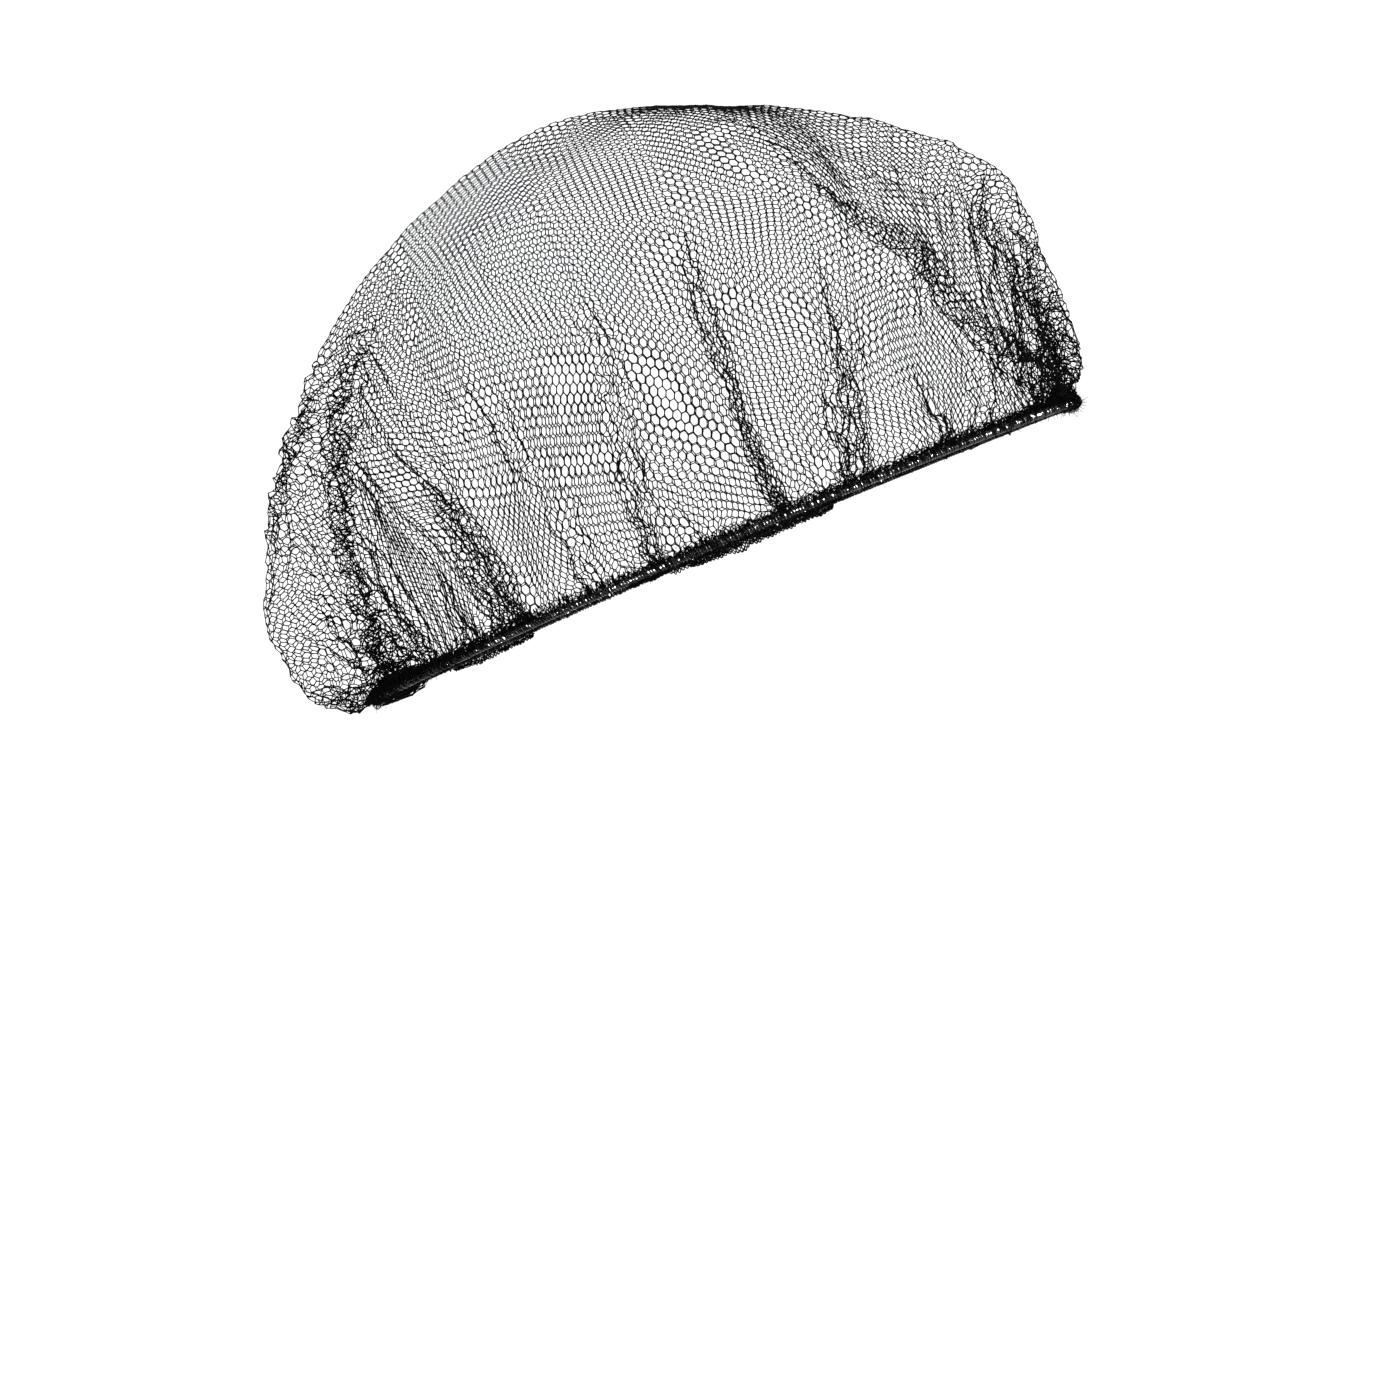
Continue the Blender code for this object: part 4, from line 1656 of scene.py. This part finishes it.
    def _add_fibres(self, bundle: ThreadBundle, random: np.random.Generator) -> None:
        """Add short loose fibres that stand off the hem.

        Args:
            bundle: the threads so far.
            random: source of random numbers.
        """
        anywhere = random.uniform(0, 1, self.fibres)
        ends = 0.5 * random.integers(0, 2, self.fibres) + random.normal(0, self.end_spread, self.fibres)
        shares = np.where(random.uniform(0, 1, self.fibres) < self.end_fibres, ends, anywhere) % 1
        line, out, over = self.elastic.loop(shares)
        turn = random.uniform(0, 2 * pi, self.fibres)[:, None]
        away = out * np.cos(turn) + over * np.sin(turn)
        along = np.cross(out, over)
        curl = (random.normal(0, 1, (self.fibres, 3)) * self.fibre_curl)[:, None]
        length = random.uniform(*self.fibre_length, (self.fibres, 1))
        steps = np.linspace(0, 1, self.FIBRE_POINTS)[None, :, None]
        rise = self.fibre_lift - self.fibre_sunk * self._buried(shares)
        foot = line + over * rise[:, None] + away * self.fibre_foot
        lean = away + along * random.normal(0, self.fibre_lean, (self.fibres, 1))
        fibres = foot[:, None] + lean[:, None] * length[:, None] * steps + curl * steps ** 2
        radius = self.fibre_radius * np.linspace(*self.fibre_taper, self.FIBRE_POINTS)
        bundle.add(fibres, radius, along, self.sides)

    def _buried(self, shares: np.ndarray) -> np.ndarray:
        """Return how far the hem hides the elastic, which it does at the back end and the front end.

        Args:
            shares: places along the loop.

        Returns:
            The share hidden, 0 to 1.
        """
        back = np.minimum(shares, 1 - shares)
        return np.exp(-((back / self.back_end) ** 4)) + np.exp(-(((shares - 0.5) / self.front_end) ** 4))

    @staticmethod
    def _wander(random: np.random.Generator, count: int, smooth: int) -> np.ndarray:
        """Return a smooth random closed run of values.

        Args:
            random: source of random numbers.
            count: number of values.
            smooth: number of neighbours that each value is blurred over.

        Returns:
            The values, mostly from -1 to 1.
        """
        rough = random.normal(0, 1, count)
        reach = 3 * smooth
        bell = np.exp(-((np.arange(-reach, reach + 1) / smooth) ** 2))
        run = np.convolve(np.concatenate([rough[-reach:], rough, rough[:reach]]), bell, "valid")
        return np.clip(run / run.std() * 0.6, -1.2, 1.2)


@dataclass
class GatheredEnd:
    """One end of the cut, crimped into a dark lump on the band."""

    BULGE = (0.45, 1.12)          # least and most of a winding's reach, over the lump's
    UNEVEN = 0.22                 # how uneven a winding is
    LEAN = 1.3                    # how far one leans along the band, over its height
    THICKNESS = (0.8, 1.3)        # least and most of its radius, over the mean

    elastic: ElasticBand
    finish: bpy.types.Material
    name: str
    front: bool
    length: float                 # along the band
    height: float                 # over it
    depth: float                  # out from it
    inset: float                  # from the band's end into the loop
    drop: float                   # how far it hangs below the band's line
    windings: int = 70
    points_a_winding: int = 14
    radius: float = 0.00014       # of a winding's thread
    sides: int = 3

    def build(self) -> list[bpy.types.Object]:
        """Build the lump.

        Returns:
            The lump's one piece.
        """
        random = np.random.default_rng(3 if self.front else 4)
        bundle = ThreadBundle()
        centre, along, out, over = self._seat()
        turn = 2 * pi * np.arange(self.points_a_winding) / self.points_a_winding
        for _ in range(self.windings):
            place = random.uniform(-0.5, 0.5)
            bulge = sqrt(max(1 - (2 * place) ** 2 * 0.8, 0.1)) * random.uniform(*self.BULGE)
            lean = random.uniform(-self.LEAN, self.LEAN)
            wave = 1 + self.UNEVEN * np.sin(turn * random.integers(2, 6) + random.uniform(0, 6))
            away = np.cos(turn) * bulge * self.depth / 2 * wave
            rise = np.sin(turn) * bulge * self.height / 2 * wave
            slide = place * self.length + lean * rise * 0.5 + random.uniform(-1, 1) * away * 0.5
            line = centre + slide[:, None] * along + away[:, None] * out + rise[:, None] * over
            bundle.add_ring(line, self.radius * random.uniform(*self.THICKNESS), out, self.sides)
        return [place_piece(bundle.mesh(self.name), self.finish)]

    def _seat(self) -> tuple[np.ndarray, ...]:
        """Work out where the lump sits.

        Returns:
            Its middle and its directions along, away from and over the band.
        """
        share = 0.5 if self.front else 0.0
        line, out, over = self.elastic.loop((share + np.array([-0.001, 0.0, 0.001])) % 1)
        along = line[2] - line[0]
        along /= np.linalg.norm(along)
        centre = line[1] - out[1] * self.inset + over[1] * (self.height / 2 - self.drop)
        return centre, along, out[1], over[1]


# Studio


class Lamp(NamedTuple):
    """One soft square light, with its place, its side and its power in watts."""

    name: str
    place: tuple[float, float, float]
    size: float
    power: float


@dataclass
class Studio:
    """The pale floor, the soft lights and the camera at the photograph's angle."""

    LAMPS = (
        Lamp("key", (-1.7, -0.9, 0.55), 0.8, 24.0),
        Lamp("fill", (-1.4, 1.2, 0.5), 1.0, 14.0),
        Lamp("top", (0.2, 0.1, 1.6), 1.2, 14.0),
    )
    SPARKLE = Lamp("sparkle", (-1.7, -0.9, 0.55), 0.16, 40000.0)  # for the winding alone
    AIM = Vector((0.0, 0.0, 0.03))
    FLOOR_SIZE = 12.0

    middle: tuple[float, float, float] = (0.0, 0.0066, -0.0387)  # of the picture
    distance: float = 4.0         # of the camera
    view_width: float = 0.3636    # width of the picture at the object's middle
    floor_level: float = -0.32
    pale: tuple[float, float, float] = (0.90, 0.90, 0.91)  # the floor's colour
    room: float = 0.25            # strength of the room's light
    wall: float = 1.24            # brightness of the wall behind
    sun: float = 3.1              # strength of the light from straight above
    sun_spread: float = 0.6

    def build(self) -> None:
        """Build the studio."""
        bpy.context.scene.view_settings.view_transform = "Standard"
        self._floor()
        self._world()
        for lamp in self.LAMPS:
            self._light(lamp)
        self._overhead()
        self._sparkle()
        self._camera()

    def _floor(self) -> None:
        """Lay a wide plain floor under the object."""
        build = bmesh.new()
        bmesh.ops.create_grid(build, x_segments=1, y_segments=1, size=self.FLOOR_SIZE)
        bmesh.ops.translate(build, verts=build.verts, vec=(0.0, 0.0, self.floor_level))
        mesh = bpy.data.meshes.new("floor")
        build.to_mesh(mesh)
        build.free()
        material = bpy.data.materials.new("pale_floor")
        material.use_nodes = True
        tree = NodeTree(material.node_tree)
        place = tree.add("ShaderNodeTexCoord")
        grain = tree.add("ShaderNodeTexNoise", {"Vector": place.outputs["Object"], "Scale": 3.0})
        dim = tuple(0.97 * part for part in self.pale)
        colour = tree.mix(grain.outputs[0], (*self.pale, 1.0), (*dim, 1.0))
        tree.feed(material.node_tree.nodes["Principled BSDF"], {"Base Color": colour, "Roughness": 0.85})
        mesh.materials.append(material)
        floor = bpy.data.objects.new("floor", mesh)
        bpy.context.scene.collection.objects.link(floor)

    def _world(self) -> None:
        """Give the room its soft pale light."""
        world = bpy.data.worlds.new("studio")
        world.use_nodes = True
        tree = NodeTree(world.node_tree)
        seen = tree.add("ShaderNodeLightPath").outputs["Is Camera Ray"]
        strength = tree.spread(seen, 0.0, 1.0, self.room, self.wall)
        looks = {"Color": (0.93, 0.94, 0.95, 1.0), "Strength": strength}
        tree.feed(world.node_tree.nodes["Background"], looks)
        bpy.context.scene.world = world

    def _light(self, lamp: Lamp) -> bpy.types.Object:
        """Hang a soft square light that looks at the object.

        Args:
            lamp: the light's name, place, size and power.

        Returns:
            The light.
        """
        data = bpy.data.lights.new(lamp.name, "AREA")
        data.energy = lamp.power
        data.size = lamp.size
        light = bpy.data.objects.new(lamp.name, data)
        light.location = lamp.place
        aim = self.AIM - Vector(lamp.place)
        light.rotation_euler = aim.to_track_quat("-Z", "Y").to_euler()
        bpy.context.scene.collection.objects.link(light)
        return light

    def _sparkle(self) -> None:
        """Hang a small light that only the elastic's glossy winding catches."""
        caught = bpy.data.collections.new("glossy_winding")
        caught.objects.link(bpy.data.objects["elastic_winding"])
        self._light(self.SPARKLE).light_linking.receiver_collection = caught

    def _overhead(self) -> None:
        """Light the whole floor evenly from above."""
        sun = bpy.data.lights.new("overhead", "SUN")
        sun.energy = self.sun
        sun.angle = self.sun_spread
        light = bpy.data.objects.new("overhead", sun)
        light.location = (0.0, 0.0, 2.0)
        bpy.context.scene.collection.objects.link(light)

    def _camera(self) -> None:
        """Set the camera at the net's right side, where the photograph was taken."""
        lens = bpy.data.cameras.new("photograph")
        lens.sensor_width = 36.0
        lens.lens = lens.sensor_width * self.distance / self.view_width
        camera = bpy.data.objects.new("photograph", lens)
        camera.location = (-self.distance, self.middle[1], self.middle[2])
        camera.rotation_euler = (pi / 2, 0.0, -pi / 2)
        bpy.context.scene.collection.objects.link(camera)
        bpy.context.scene.camera = camera


def main() -> None:
    """Build the net, the elastic, the hem and the studio."""
    logging.basicConfig(level=logging.INFO, format="%(name)s: %(message)s")
    groups = SharedGroups()
    band = BandFrame()
    crown = CrownForm(band)
    net_finish = NET_NYLON.material(groups)
    hem_finish = HEM_COTTON.material(groups)
    elastic = ElasticBand(band, ELASTIC_RUBBER.material(groups), GLOSSY_WRAP.material(groups))
    front = GatheredEnd(
        elastic, hem_finish, "front_gather",
        front=True, length=0.0110, height=0.0060, depth=0.0066, inset=0.0026, drop=0.0008,
    )
    back = GatheredEnd(
        elastic, hem_finish, "back_gather",
        front=False, length=0.0140, height=0.0062, depth=0.0150, inset=0.0070, drop=0.0021,
    )
    for assembly in (HairNet(band, crown, net_finish), elastic, Hem(elastic, hem_finish), front, back):
        for piece in assembly.build():
            LOG.info("built %s", piece.name)
    Studio().build()


if __name__ == "__main__":
    main()
